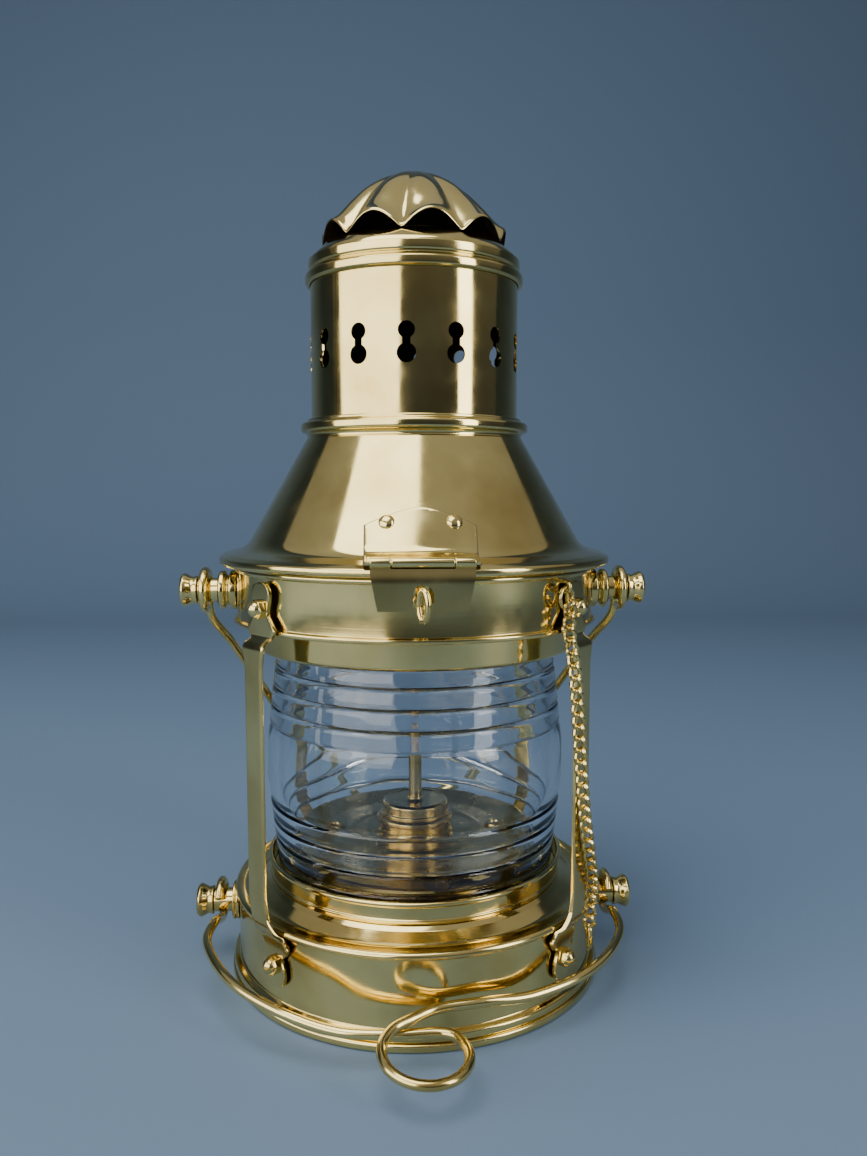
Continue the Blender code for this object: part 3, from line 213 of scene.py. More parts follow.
spun_look = {
    "bright": BRIGHT_BRASS, "deep": DEEP_BRASS, "polish": 0.07, "worn": 0.17, "lathe": 0.25, "ripple": 0.22,
}
spun_brass = brass("spun_brass", **spun_look)
smoked_brass = brass("smoked_spun_brass", **spun_look, sooty=True)
dark_brass = brass("oil_stained_brass", (0.60, 0.46, 0.20, 1), (0.33, 0.24, 0.10, 1), 0.16, 0.34, lathe=0.3)


def rounded(outline, facets=5):
    """The outline with an arc at each corner that has a third number, its fillet in millimetres."""
    points = []
    for i, corner in enumerate(outline):
        here = Vector(corner[:2])
        if len(corner) < 3:
            points.append(tuple(here))
            continue
        before = Vector(outline[i - 1][:2]) - here
        after = Vector(outline[(i + 1) % len(outline)][:2]) - here
        reach = min(corner[2] * MM / tan(before.angle(after) / 2), 0.48 * before.length, 0.48 * after.length)
        start, end = here + before.normalized() * reach, here + after.normalized() * reach
        for k in range(facets + 1):
            t = k / facets
            points.append(tuple(start * (1 - t) ** 2 + here * 2 * t * (1 - t) + end * t ** 2))
    return points


def spun_mesh(outline, steps=160):
    """Radius and height pairs turned about Z: a closed ring, or a body where both ends are on the axis."""
    solid = outline[0][0] == 0 and outline[-1][0] == 0
    ring = outline[1:-1] if solid else outline
    points, faces, count = [], [], len(ring)
    for k in range(steps):
        c, s = cos(tau * k / steps), sin(tau * k / steps)
        points += [(r * c, r * s, z) for r, z in ring]
    for k in range(steps):
        a, b = k * count, (k + 1) % steps * count
        for i in range(count - 1 if solid else count):
            j = (i + 1) % count
            faces.append((a + i, b + i, b + j, a + j))
    if solid:
        top, foot = len(points), len(points) + 1
        points += [(0, 0, outline[0][1]), (0, 0, outline[-1][1])]
        for k in range(steps):
            a, b = k * count, (k + 1) % steps * count
            faces += [(top, b, a), (foot, a + count - 1, b + count - 1)]
    return outward(mesh_of("spun", points, faces))


def turned(outline, steps=160, facets=5):
    """A spun mesh of an outline whose corners are rounded first."""
    return spun_mesh(rounded(outline, facets), steps)


def outward(mesh):
    """The mesh with its doubles merged and its faces pointing out."""
    shape = bmesh.new()
    shape.from_mesh(mesh)
    bmesh.ops.remove_doubles(shape, verts=shape.verts, dist=0.001 * MM)
    bmesh.ops.recalc_face_normals(shape, faces=shape.faces)
    shape.to_mesh(mesh)
    shape.free()
    return mesh


def joined(meshes):
    """Several meshes as one."""
    shape = bmesh.new()
    for mesh in meshes:
        shape.from_mesh(mesh)
    whole = bpy.data.meshes.new("joined")
    shape.to_mesh(whole)
    shape.free()
    return whole


def piece(name, mesh, material, nodes, body=LANTERN, sharp=38):
    """A finished piece: shaded, on its body, and standing for the CAD nodes named."""
    mesh.name = name
    mesh.materials.clear()
    mesh.materials.append(material)
    mesh.shade_smooth()
    mesh.set_sharp_from_angle(angle=radians(sharp))
    obj = new_object(name, mesh)
    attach(obj, body)
    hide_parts(*nodes)


def radius_of(node):
    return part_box(node)[1].x


def heights_of(node):
    low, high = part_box(node)
    return low.z, high.z


FOOT_R, WALL_R = radius_of("foot_ring"), radius_of("bottom_band")
FOOT_LOW, FOOT_HIGH = heights_of("foot_ring")
WALL_TOP = heights_of("bottom_band")[1]
WALL_BORE = WALL_R - 1.4 * MM
foot_mid = (FOOT_LOW + FOOT_HIGH) / 2
piece("base_can", turned([
    (WALL_BORE, WALL_TOP), (WALL_R, WALL_TOP), (WALL_R, FOOT_HIGH + 0.6 * MM, 0.8),
    (FOOT_R - 0.7 * MM, FOOT_HIGH - 0.1 * MM, 1.3), (FOOT_R - 0.7 * MM, foot_mid + 0.4 * MM, 1.2),
    (FOOT_R - 2.2 * MM, foot_mid, 0.4), (FOOT_R, foot_mid - 0.3 * MM, 1.3),
    (FOOT_R, FOOT_LOW + 0.2 * MM, 1.4), (FOOT_R - 2.5 * MM, FOOT_LOW, 0.5), (WALL_BORE, FOOT_LOW, 0.4),
], 200), spun_brass, ["foot_ring", "bottom_band"])
PAN_R, PAN_TOP = radius_of("base_plate"), heights_of("base_plate")[1]
pan = [(0, PAN_TOP)]
for ring_r in (18 * MM, 42 * MM, 66 * MM):
    pan += [
        (ring_r - 2 * MM, PAN_TOP, 0.5), (ring_r, PAN_TOP - 0.5 * MM, 0.8), (ring_r + 2 * MM, PAN_TOP, 0.5),
    ]
pan += [(PAN_R, PAN_TOP, 0.3), (PAN_R, 0, 0.3), (0, 0)]
piece("base_pan", turned(pan, 128), spun_brass, ["base_plate"])

# Shelf and glass seat: a dished ring spun to a rolled edge that caps the base can, with a raised
# step inside it, and the ring on that step that the glass stands in, its low wall beaded on top.
SHELF_R = radius_of("base_shelf")
SHELF_HIGH = heights_of("base_shelf")[1]
SEAT_BORE, SEAT_R, SHELF_SHEET = 56.4 * MM, 66.4 * MM, 0.9 * MM
RIM_TOP, roll = 39.6 * MM, 3.3 * MM
dish_z, under_z = RIM_TOP - 1.7 * MM, SHELF_HIGH - SHELF_SHEET
piece("dished_shelf", turned([
    (SEAT_BORE, SHELF_HIGH), (SEAT_R, SHELF_HIGH, 1.0), (SEAT_R + roll / 2, SHELF_HIGH - roll / 2, 1.4),
    (SEAT_R + 2.2 * roll, dish_z, 5), (SHELF_R - 1.4 * roll, dish_z + 0.4 * MM, 2.5),
    (SHELF_R - roll / 2.5, RIM_TOP, 1.4), (SHELF_R, RIM_TOP - roll / 2, 1.6),
    (SHELF_R - roll / 4, RIM_TOP - roll, 0.6), (SHELF_R - 1.2 * roll, RIM_TOP - roll, 0.4),
    (SHELF_R - 1.4 * roll, dish_z - SHELF_SHEET, 0.6), (SEAT_R + 2.1 * roll, dish_z - SHELF_SHEET, 2),
    (SEAT_R - SHELF_SHEET, under_z - roll / 2, 0.5), (SEAT_R - SHELF_SHEET, under_z), (SEAT_BORE, under_z),
], 200), spun_brass, ["base_shelf"])
ring_low, ring_high = heights_of("lower_glass_ring")
SEAT_T, LENS_BORE = 1.1 * MM, 57.6 * MM
inner_r, outer_r, floor_z = SEAT_R - SEAT_T, SEAT_R + SEAT_T, ring_low + SEAT_T
piece("glass_seat_ring", turned([
    (LENS_BORE, floor_z, 0.2), (inner_r, floor_z, 0.6), (inner_r, ring_high - 0.6 * MM, 0.5),
    (SEAT_R - SEAT_T / 2, ring_high, 0.6), (SEAT_R + SEAT_T / 2, ring_high, 0.7),
    (outer_r, ring_high - SEAT_T / 2, 0.5), (outer_r, ring_high - SEAT_T * 1.5, 0.5),
    (SEAT_R, ring_high - SEAT_T * 2, 0.5), (SEAT_R, ring_low + 2.2 * MM, 0.4),
    (SEAT_R + 0.5 * MM, ring_low + 1.7 * MM, 0.4), (SEAT_R + 0.5 * MM, ring_low, 0.3), (LENS_BORE, ring_low),
]), spun_brass, ["lower_glass_ring"])

# Lens: one pressing of clear, faintly blue glass, smooth inside. Outside, a bulging belt at the
# flame's height lies between rows of rounded prism ribs, and the mould left slow waves in it.
LENS_BELT_R = radius_of("lens")
LENS_LOW, LENS_HIGH = heights_of("lens")
LENS_END_R, RIB_DEPTH, GROOVE_DEPTH = 62.6 * MM, 1.9 * MM, 1.3 * MM
BELT_LOW, BELT_HIGH, RIBS = 78.8 * MM, 112.9 * MM, 4
RIB_FACETS, BELT_FACETS = 20, 20
near_belt_r = LENS_BELT_R - RIB_DEPTH / 2
belt_bore = LENS_BELT_R - (LENS_END_R - LENS_BORE)


def rib_points(low, high, low_r, high_r):
    """Flat-crowned ribs from the higher end down, a narrow rounded groove between neighbours."""
    rows = []
    for i in range(RIBS * RIB_FACETS):
        across = (i % RIB_FACETS) / RIB_FACETS
        share = i / (RIBS * RIB_FACETS)
        crown = high_r + (low_r - high_r) * share
        rows.append((crown - GROOVE_DEPTH * abs(2 * across - 1) ** 7, high + (low - high) * share))
    return rows


belt_curve = [(RIB_DEPTH * abs(2 * share - 1) ** 4, share) for share in spread(0, 1, BELT_FACETS + 1)]
lens_line = [(LENS_BORE, LENS_HIGH)] + rib_points(BELT_HIGH, LENS_HIGH, near_belt_r, LENS_END_R)
belt_drop = BELT_LOW - BELT_HIGH
lens_line += [(LENS_BELT_R - inset, BELT_HIGH + belt_drop * share) for inset, share in belt_curve]
lens_line += rib_points(LENS_LOW, BELT_LOW, LENS_END_R, near_belt_r)[1:]
lens_line += [(LENS_END_R - GROOVE_DEPTH, LENS_LOW), (LENS_BORE, LENS_LOW)]
lens_line += [(belt_bore - inset, BELT_LOW + (BELT_HIGH - BELT_LOW) * share) for inset, share in belt_curve]
clear_glass, glass_tree, glass = new_material("pressed_glass")
glass_here = add(glass_tree, "ShaderNodeTexCoord")["Object"]
feed(glass_tree, glass, {
    "Base Color": (0.93, 0.97, 1.0, 1), "Transmission Weight": 1.0, "IOR": 1.46,
    "Roughness": mapped(glass_tree, noise(glass_tree, 70, 3, glass_here), 0.4, 0.8, 0.0, 0.03),
    "Normal": bumped(glass_tree, noise(glass_tree, 38, 2, glass_here), 0.18, 1.0 * MM),
})
piece("lens_glass", spun_mesh(lens_line, 192), clear_glass, ["lens"], sharp=50)

# Upper band and collar: a deep brass band beaded at both edges, and the spun collar inside it
# that presses on the lens and keeps it on its seat.
BAND_LOW, BAND_HIGH = heights_of("top_band")
BAND_BEAD_R = radius_of("top_band")
BAND_R, BAND_INNER, BEAD, COLLAR_R = 79.5 * MM, 78.2 * MM, 2.6 * MM, 72.0 * MM
LEDGE_R, LEDGE_Z = COLLAR_R + 0.3 * MM, BAND_LOW + 1.8 * MM
piece("upper_band", turned([
    (BAND_INNER, BAND_HIGH), (BAND_R, BAND_HIGH, 0.6), (BAND_BEAD_R, BAND_HIGH - BEAD * 0.15, 1.1),
    (BAND_BEAD_R, BAND_HIGH - BEAD * 0.85, 1.1), (BAND_R, BAND_HIGH - BEAD, 0.3),
    (BAND_R, BAND_LOW + BEAD, 0.3), (BAND_BEAD_R, BAND_LOW + BEAD * 0.85, 1.1),
    (BAND_BEAD_R, BAND_LOW + BEAD * 0.1, 1.1), (BAND_R, BAND_LOW, 0.5),
    (LEDGE_R, BAND_LOW, 0.3), (LEDGE_R, LEDGE_Z, 0.3), (BAND_INNER, LEDGE_Z, 0.4),
], 200), spun_brass, ["top_band"])
COLLAR_LOW, COLLAR_HIGH = heights_of("upper_glass_ring")
COLLAR_BORE, flange_r = 58.0 * MM, radius_of("upper_glass_ring")
sheet = 0.9 * MM
piece("glass_collar", turned([
    (COLLAR_R - sheet, COLLAR_HIGH, 0.6), (flange_r, COLLAR_HIGH), (flange_r, COLLAR_HIGH - sheet),
    (COLLAR_R, COLLAR_HIGH - sheet, 1.2), (COLLAR_R, COLLAR_LOW + 1.2 * MM, 1.2),
    (COLLAR_R - 1.6 * MM, COLLAR_LOW, 1), (COLLAR_BORE, COLLAR_LOW), (COLLAR_BORE, COLLAR_LOW + sheet),
    (COLLAR_R - sheet, COLLAR_LOW + sheet, 1.4),
]), spun_brass, ["upper_glass_ring"])

# Hood: a cone spun from sheet, rolled out to a wide rim that sits on the band, and gathered at
# its neck into the double bead that the chimney is pushed down into.
HOOD = "hood"
RIM_R = radius_of("hood_cone")
RIM_LOW, NECK_TOP = heights_of("hood_cone")
RIM_RISE, RIM_TOP_R, CONE_FOOT_R, NECK_R = 4.4 * MM, 84.6 * MM, 74.8 * MM, 47.7 * MM
CONE_FOOT_Z, NECK_Z, NECK_BEAD, NECK_BEAD_R = RIM_LOW + 7.2 * MM, NECK_TOP - 8.0 * MM, 4.0 * MM, 50.5 * MM
TUBE_R = radius_of("chimney_tube")
socket_r, ledge_r = TUBE_R + 0.3 * MM, TUBE_R - 2 * sheet
bead_z, rim_top_z = NECK_Z + NECK_BEAD * 1.05, RIM_LOW + RIM_RISE + sheet / 2
piece("spun_hood", turned([
    (socket_r, NECK_TOP, 0.2), (NECK_R - 0.2 * MM, NECK_TOP, 0.8), (NECK_R, bead_z + 2.6 * MM, 0.5),
    (NECK_BEAD_R, bead_z + 1.7 * MM, 1.5), (NECK_BEAD_R, bead_z - 1.7 * MM, 1.5),
    (NECK_R + 0.2 * MM, bead_z - 3.0 * MM, 0.8), (NECK_R, NECK_Z, 1.5), (CONE_FOOT_R, CONE_FOOT_Z, 9),
    (RIM_TOP_R - sheet, rim_top_z, 1.0), (RIM_R, RIM_LOW + RIM_RISE * 0.75, 1.6),
    (RIM_R, RIM_LOW + RIM_RISE * 0.2, 1.2), (RIM_R - 1.2 * MM, RIM_LOW, 0.5),
    (RIM_TOP_R - sheet, RIM_LOW + RIM_RISE / 3, 0.5), (BAND_BEAD_R, RIM_LOW), (BAND_INNER, RIM_LOW),
    (CONE_FOOT_R - sheet, CONE_FOOT_Z - sheet, 6), (NECK_R - sheet, NECK_Z - 3 * sheet, 2),
    (ledge_r, NECK_Z - sheet), (ledge_r, NECK_Z), (socket_r, NECK_Z),
], 240, 8), smoked_brass, ["hood_cone"], HOOD)

# Chimney: a rolled tube with a lapped seam, pierced all round with keyhole vents, each one two
# round holes joined by a neck. One sector is cut and filled flat, and repeated round the tube.
TUBE_LOW, TUBE_HIGH = heights_of("chimney_tube")
VENTS, VENT_Z, VENT_TURN, VENT_SPAN = 14, 275.7 * MM, radians(-5.9), 9.1 * MM
VENT_UPPER_R, VENT_LOWER_R, VENT_NECK = 3.45 * MM, 3.95 * MM, 3.4 * MM
WELD = 0.01 * MM        # closes the joins between sectors
SEAM_AZIMUTH, SEAM_HALF, SEAM_PROUD, SEAM_SHORT = radians(-47.5), 0.7 * MM, 0.18 * MM, 5 * MM


def arc(x, y, radius, start, end, count):
    return [(x + radius * cos(a), y + radius * sin(a)) for a in spread(start, end, count)]


def divided(outline, step):
    """The closed outline with points added so that no side is longer than step."""
    points = []
    for (ax, ay), (bx, by) in zip(outline, outline[1:] + outline[:1]):
        parts = max(1, ceil(hypot(bx - ax, by - ay) / step - 0.01))
        points += [(ax + (bx - ax) * i / parts, ay + (by - ay) * i / parts) for i in range(parts)]
    return points


def inside(x, y, outline):
    odd = False
    for (ax, ay), (bx, by) in zip(outline, outline[1:] + outline[:1]):
        if (ay > y) != (by > y) and x < (bx - ax) * (y - ay) / (by - ay) + ax:
            odd = not odd
    return odd


def filled(outer, holes, step):
    """Flat points and triangles that fill an outline round its holes with an even net."""
    rings = [divided(outer, step)] + [divided(hole, step * 0.7) for hole in holes]
    border = [p for ring in rings for p in ring]
    edges, start = [], 0
    for ring in rings:
        edges += [(start + i, start + (i + 1) % len(ring)) for i in range(len(ring))]
        start += len(ring)
    (left, foot), (right, top) = map(min, zip(*outer)), map(max, zip(*outer))
    columns, rows = ceil((right - left) / step), ceil((top - foot) / step)

    def within(x, y):
        return inside(x, y, rings[0]) and not any(inside(x, y, hole) for hole in rings[1:])

    points = list(border)
    for i in range(1, columns):
        for j in range(1, rows):
            x, y = left + (right - left) * i / columns, foot + (top - foot) * j / rows
            if within(x, y) and min(hypot(x - bx, y - by) for bx, by in border) > step * 0.45:
                points.append((x, y))
    found = delaunay_2d_cdt([Vector(p) for p in points], edges, [], 0, 1e-9)
    flat = [tuple(p) for p in found[0]]
    kept = []
    for face in found[2]:
        if within(*(sum(flat[i][axis] for i in face) / len(face) for axis in (0, 1))):
            kept.append(tuple(face))
    return flat, kept


def shell(outer, holes, step, thickness, place, open_x=inf):
    """A filled outline bent by place(x, y, off), both its faces and its walls, bar those past open_x."""
    flat, kept = filled(outer, holes, step)
    count = len(flat)
    points = [place(x, y, off) for off in (thickness, 0) for x, y in flat]
    sides = dict.fromkeys((a, b) for face in kept for a, b in zip(face, face[1:] + face[:1]))
    rim = [(a, b) for a, b in sides if (b, a) not in sides]
    faces = kept + [tuple(count + i for i in reversed(face)) for face in kept]
    faces += [(b, a, count + a, count + b) for a, b in rim if min(abs(flat[a][0]), abs(flat[b][0])) <= open_x]
    return mesh_of("shell", points, faces)


def sheet_mesh(outline, step, thickness, place, bevel=0.0):
    """A closed shell of an outline without holes, its edges eased by the bevel."""
    mesh = outward(shell(outline, [], step, thickness, place))
    return bevelled(mesh, bevel) if bevel else mesh


def bevelled(mesh, width, angle=50):
    """The mesh with its sharp edges eased."""
    obj = new_object("eased", mesh)
    ease = obj.modifiers.new("ease", "BEVEL")
    ease.width, ease.segments = width, 2
    ease.limit_method, ease.angle_limit = "ANGLE", radians(angle)
    return settled(obj)


def settled(obj):
    """The object's mesh after its modifiers, with the object removed."""
    bpy.context.view_layer.update()
    graph = bpy.context.evaluated_depsgraph_get()
    mesh = bpy.data.meshes.new_from_object(obj.evaluated_get(graph))
    bpy.data.objects.remove(obj)
    return mesh


def new_tree(name, inputs):
    """A geometry tree with named inputs, whose kinds are Blender's socket types, and what they give."""
    tree = bpy.data.node_groups.new(name, "GeometryNodeTree")
    for way in ("INPUT", "OUTPUT"):
        tree.interface.new_socket("Geometry", in_out=way, socket_type="NodeSocketGeometry")
    for label, kind in inputs.items():
        tree.interface.new_socket(label, in_out="INPUT", socket_type="NodeSocket" + kind)
    return tree, add(tree, "NodeGroupInput")


def end_tree(tree, given, copies, weld=0.0):
    """Makes the copies real, welds them where a distance is given, paints them and hands them out."""
    made = add(tree, "GeometryNodeRealizeInstances", {0: copies})[0]
    if weld:
        made = add(tree, "GeometryNodeMergeByDistance", {0: made, "Distance": weld})[0]
    made = add(tree, "GeometryNodeSetMaterial", {"Geometry": made, "Material": given["Finish"]})[0]
    add(tree, "NodeGroupOutput", {0: made})


def run_tree(mesh, tree, values):
    """The mesh that the tree makes of a mesh, with its named inputs set."""
    obj = new_object("seed", mesh)
    maker = obj.modifiers.new("maker", "NODES")
    maker.node_group = tree
    for item in tree.interface.items_tree:
        if item.in_out == "INPUT" and item.name in values:
            maker[item.identifier] = values[item.name]
    return settled(obj)


def on_tube(x, z, off):
    reach = TUBE_R - sheet + off
    return (reach * sin(x / TUBE_R), -reach * cos(x / TUBE_R), z)


ring_tree, given = new_tree("vents_round_tube", {"Count": "Int", "Turn": "Float", "Finish": "Material"})
spots = add(ring_tree, "GeometryNodePoints", {"Count": given["Count"]})[0]
number = add(ring_tree, "GeometryNodeInputIndex")[0]
step_turn = add(ring_tree, "ShaderNodeMath", {0: tau, 1: given["Count"]}, operation="DIVIDE")[0]
swing_feeds = {0: number, 1: step_turn, 2: given["Turn"]}
swing = add(ring_tree, "ShaderNodeMath", swing_feeds, operation="MULTIPLY_ADD")[0]
euler = add(ring_tree, "ShaderNodeCombineXYZ", {"Z": swing})[0]
turn = add(ring_tree, "FunctionNodeEulerToRotation", {0: euler})[0]
end_tree(ring_tree, given, add(ring_tree, "GeometryNodeInstanceOnPoints", {
    "Points": spots, "Instance": given["Geometry"], "Rotation": turn,
})[0], WELD)

up_angle, low_angle = asin(VENT_NECK / 2 / VENT_UPPER_R), asin(VENT_NECK / 2 / VENT_LOWER_R)
keyhole = arc(0, VENT_Z + VENT_SPAN / 2, VENT_UPPER_R, -pi / 2 + up_angle, 3 * pi / 2 - up_angle, 30)
keyhole += arc(0, VENT_Z - VENT_SPAN / 2, VENT_LOWER_R, pi / 2 + low_angle, 5 * pi / 2 - low_angle, 32)
half = pi * TUBE_R / VENTS
sector = [(-half, TUBE_LOW), (half, TUBE_LOW), (half, TUBE_HIGH), (-half, TUBE_HIGH)]
sector_mesh = shell(sector, [keyhole], 1.15 * MM, sheet, on_tube, half - WELD)
tube_mesh = run_tree(sector_mesh, ring_tree, {"Count": VENTS, "Turn": VENT_TURN, "Finish": smoked_brass})
left, right = [SEAM_AZIMUTH * TUBE_R + side * SEAM_HALF for side in (-1, 1)]
seam_top = TUBE_HIGH - SEAM_SHORT
seam_line = [(left, TUBE_LOW), (right, TUBE_LOW), (right, seam_top), (left, seam_top)]
seam_foot = sheet - SEAM_PROUD
seam = sheet_mesh(seam_line, 1.0 * MM, SEAM_PROUD * 2, lambda x, z, off: on_tube(x, z, seam_foot + off))
chimney = outward(joined([outward(tube_mesh), seam]))
piece("chimney_with_vents", chimney, smoked_brass, ["chimney_tube"], HOOD)

# Cap: a dish spun with two beads and a groove between them, pressed over the chimney's top, and
# the fluted crown above it, whose scalloped mouths let the smoke out.
DISH_LOW, DISH_HIGH = heights_of("cap_dish")
CAP_BEAD_R = radius_of("cap_dish")
DISH_BEAD_R, CAP_BEAD, CAP_GROOVE, DISH_BORE = 46.5 * MM, 4.2 * MM, 1.6 * MM, 33.0 * MM
CROWN_R, CROWN_RISE, CROWN_WAVE, CROWN_FLUTES, CROWN_TURN = 40.3 * MM, 28.6 * MM, 3.6 * MM, 10, radians(9)
CROWN_SHARES = ((0, 1), (0.18, 0.955), (0.38, 0.83), (0.58, 0.63), (0.76, 0.36), (0.9, 0.12), (1, 0))
CROWN_ROWS, CROWN_STEPS, CROWN_SHEET = 44, 360, 0.7 * MM
CREASE = 0.1            # rounds the sharp valleys between the arches
CROWN_EDGE_Z = heights_of("crown_cap")[1] - sheet - CROWN_RISE
groove_z = DISH_LOW + CAP_BEAD
edge_z = groove_z + CAP_GROOVE + CAP_BEAD
step_z = TUBE_HIGH + 0.3 * MM


def dish_height(radius):
    share = (DISH_BEAD_R - radius) / (DISH_BEAD_R - DISH_BORE)
    return edge_z + (DISH_HIGH - edge_z) * sin(share * pi / 2)


dish_rows = spread(DISH_BORE, DISH_BEAD_R - 1.4 * MM, 13)
cap_outline = [(r, dish_height(r)) for r in dish_rows] + rounded([
    (DISH_BEAD_R - 1.1 * MM, edge_z + 0.3 * MM), (DISH_BEAD_R, edge_z + 0.4 * MM, 1.1),
    (DISH_BEAD_R, edge_z - CAP_BEAD * 0.75, 1.6), (TUBE_R - 0.2 * MM, groove_z + CAP_GROOVE * 0.9, 0.4),
    (TUBE_R + 0.9 * MM, groove_z + 0.5 * MM, 0.3), (CAP_BEAD_R, groove_z - CAP_BEAD * 0.05, 1.6),
    (CAP_BEAD_R, DISH_LOW + CAP_BEAD * 0.15, 1.6), (CAP_BEAD_R - 1.3 * MM, DISH_LOW, 0.5),
    (socket_r, DISH_LOW), (socket_r, step_z), (ledge_r, step_z),
], 7)
cap_outline += [(r, dish_height(r) - sheet) for r in reversed(dish_rows[:-2])]
piece("beaded_cap", spun_mesh(cap_outline, 200), spun_brass, ["cap_dish"], HOOD)


def hermite(start, end, start_slope, end_slope, span, t):
    """A smooth value between two, with a slope at either end."""
    return (start * (2 * t ** 3 - 3 * t * t + 1) + start_slope * span * (t ** 3 - 2 * t * t + t)
            + end * (3 * t * t - 2 * t ** 3) + end_slope * span * (t ** 3 - t * t))


def crown_height(reach):
    """Height share at a radius share, through the crown's shares on a smooth curve."""
    last = len(CROWN_SHARES) - 1
    at = max(i for i in range(last) if CROWN_SHARES[i][0] <= reach or i == 0)
    (r0, h0), (r1, h1) = CROWN_SHARES[at], CROWN_SHARES[at + 1]

    def slope(i):
        low, high = CROWN_SHARES[max(i - 1, 0)], CROWN_SHARES[min(i + 1, last)]
        return (high[1] - low[1]) / (high[0] - low[0]) if i else 0.0

    return hermite(h0, h1, slope(at), slope(at + 1), r1 - r0, (reach - r0) / (r1 - r0))


crown_points = []
for off in (CROWN_SHEET, 0):
    for i in range(1, CROWN_ROWS + 1):
        reach = i / CROWN_ROWS
        for k in range(CROWN_STEPS):
            azimuth = tau * k / CROWN_STEPS
            arch = hypot(cos(CROWN_FLUTES / 2 * (azimuth - CROWN_TURN)), CREASE) - CREASE
            wave = CROWN_WAVE * reach ** 2.2 * (2 * arch / (hypot(1, CREASE) - CREASE) - 1)
            z = CROWN_EDGE_Z + CROWN_RISE * crown_height(reach) + wave + off
            crown_points.append((CROWN_R * reach * sin(azimuth), -CROWN_R * reach * cos(azimuth), z))
crown_points += [(0, 0, CROWN_EDGE_Z + CROWN_RISE + off) for off in (CROWN_SHEET, 0)]
layer, rim_row = CROWN_ROWS * CROWN_STEPS, (CROWN_ROWS - 1) * CROWN_STEPS
crown_faces = []
for k in range(CROWN_STEPS):
    n = (k + 1) % CROWN_STEPS
    for a in range(0, rim_row, CROWN_STEPS):
        b = a + CROWN_STEPS
        crown_faces.append((a + k, b + k, b + n, a + n))
        crown_faces.append((layer + a + n, layer + b + n, layer + b + k, layer + a + k))
    crown_faces += [(2 * layer, k, n), (2 * layer + 1, layer + n, layer + k)]
    crown_faces.append((rim_row + k, layer + rim_row + k, layer + rim_row + n, rim_row + n))
crown_mesh = outward(mesh_of("crown", crown_points, crown_faces))
piece("fluted_crown", crown_mesh, smoked_brass, ["crown_cap"], HOOD, sharp=60)

# Hasp: a plate riveted to the cone and bent out over the rim, a slotted leaf hinged on it, and
# the wire eye on the band that comes through the slot. Cut from flat sheet and rubbed bright.
sheet_brass = brass("rubbed_sheet_brass", BRIGHT_BRASS, DEEP_BRASS, 0.09, 0.20, ripple=0.10)
wire_brass = brass("drawn_wire_brass", BRIGHT_BRASS, DEEP_BRASS, 0.10, 0.22)
HASP_SHEET, KNUCKLE_R, PIN_R, MIDDLE_HALF, CLEAR = 1.2 * MM, 1.9 * MM, 0.8 * MM, 11.4 * MM, 0.3 * MM
PLATE_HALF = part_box("hasp_plate")[1].x
SHOULDER, CREST = 24.5 * MM, 32.5 * MM
GAP_SHADE_WIDTH = 0.8 * MM      # width of the painted shade round the plate, a dark strip standing for the shade in the gap under its edge
LEAF_DROP, LEAF_TOP_HALF, LEAF_LOW_HALF = 17.6 * MM, 19.2 * MM, 16.6 * MM
SLOT_HALF, SLOT_RISE = 3.9 * MM, 9.6 * MM
CREASE_Z, CREASE_OUT, LEAF_TAB_Z = -7.0 * MM, 1.1 * MM, -1.4 * MM
STAPLE_WIRE, STAPLE_HALF, STAPLE_TALL, STAPLE_TWIST = 1.2 * MM, 2.7 * MM, 5.6 * MM, radians(35)


def middle_of(node):
    low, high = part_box(node)
    return (low + high) / 2


pin_at = middle_of("hasp_pin")
plate_path = rounded([
    (-pin_at.y - 1.6 * MM, rim_top_z + CLEAR), (CONE_FOOT_R + 0.4 * MM, CONE_FOOT_Z + CLEAR, 8),
    (NECK_R + 0.25 * MM, NECK_Z + 0.15 * MM),
], 10)


def along(path, distance):
    """The point at a distance along a radius and height path, and its outward normal."""
    for (ar, az), (br, bz) in zip(path, path[1:]):
        length = hypot(br - ar, bz - az)
        if distance <= length or (br, bz) == path[-1]:
            t = distance / length
            return ar + (br - ar) * t, az + (bz - az) * t, (bz - az) / length, (ar - br) / length
        distance -= length


def on_hood(x, s, off):
    r, z, out, up = along(plate_path, s)
    reach = r + off * out
    return (reach * sin(x / r), -reach * cos(x / r), z + off * up)


def placed(mesh, matrix):
    mesh.transform(matrix)
    return mesh


def laid(mesh, at):
    """The mesh turned from Z to X, and moved."""
    return placed(mesh, Matrix.Translation(at) @ Matrix.Rotation(pi / 2, 4, "Y"))


def barrel(radius, bore, low, high, at):
    """A hinge knuckle along X, its ends eased."""
    line = [(bore, high), (radius, high, 0.3), (radius, low, 0.3), (bore, low)]
    return laid(turned(line, 32, 3), (0, at.y, at.z))


def pin_mesh(radius, half_long, ease, steps, at):
    line = [(0, half_long), (radius, half_long, ease), (radius, -half_long, ease), (0, -half_long)]
    return laid(turned(line, steps), at)


def wire_mesh(points, radius, cyclic=False, resolution=4):
    """A round wire through the points."""
    curve = bpy.data.curves.new("wire", "CURVE")
    curve.dimensions = "3D"
    curve.bevel_depth, curve.bevel_resolution = radius, resolution
    curve.use_fill_caps = not cyclic
    spline = curve.splines.new("POLY")
    spline.points.add(len(points) - 1)
    for knot, point in zip(spline.points, points):
        knot.co = (*point, 1)
    spline.use_cyclic_u = cyclic
    return outward(settled(new_object("wire", curve)))


def disc(radius, thick, ease, steps):
    """A washer without its hole, which the part that stands on it hides."""
    return turned([(0, thick), (radius, thick, ease), (radius, 0), (0, 0)], steps)


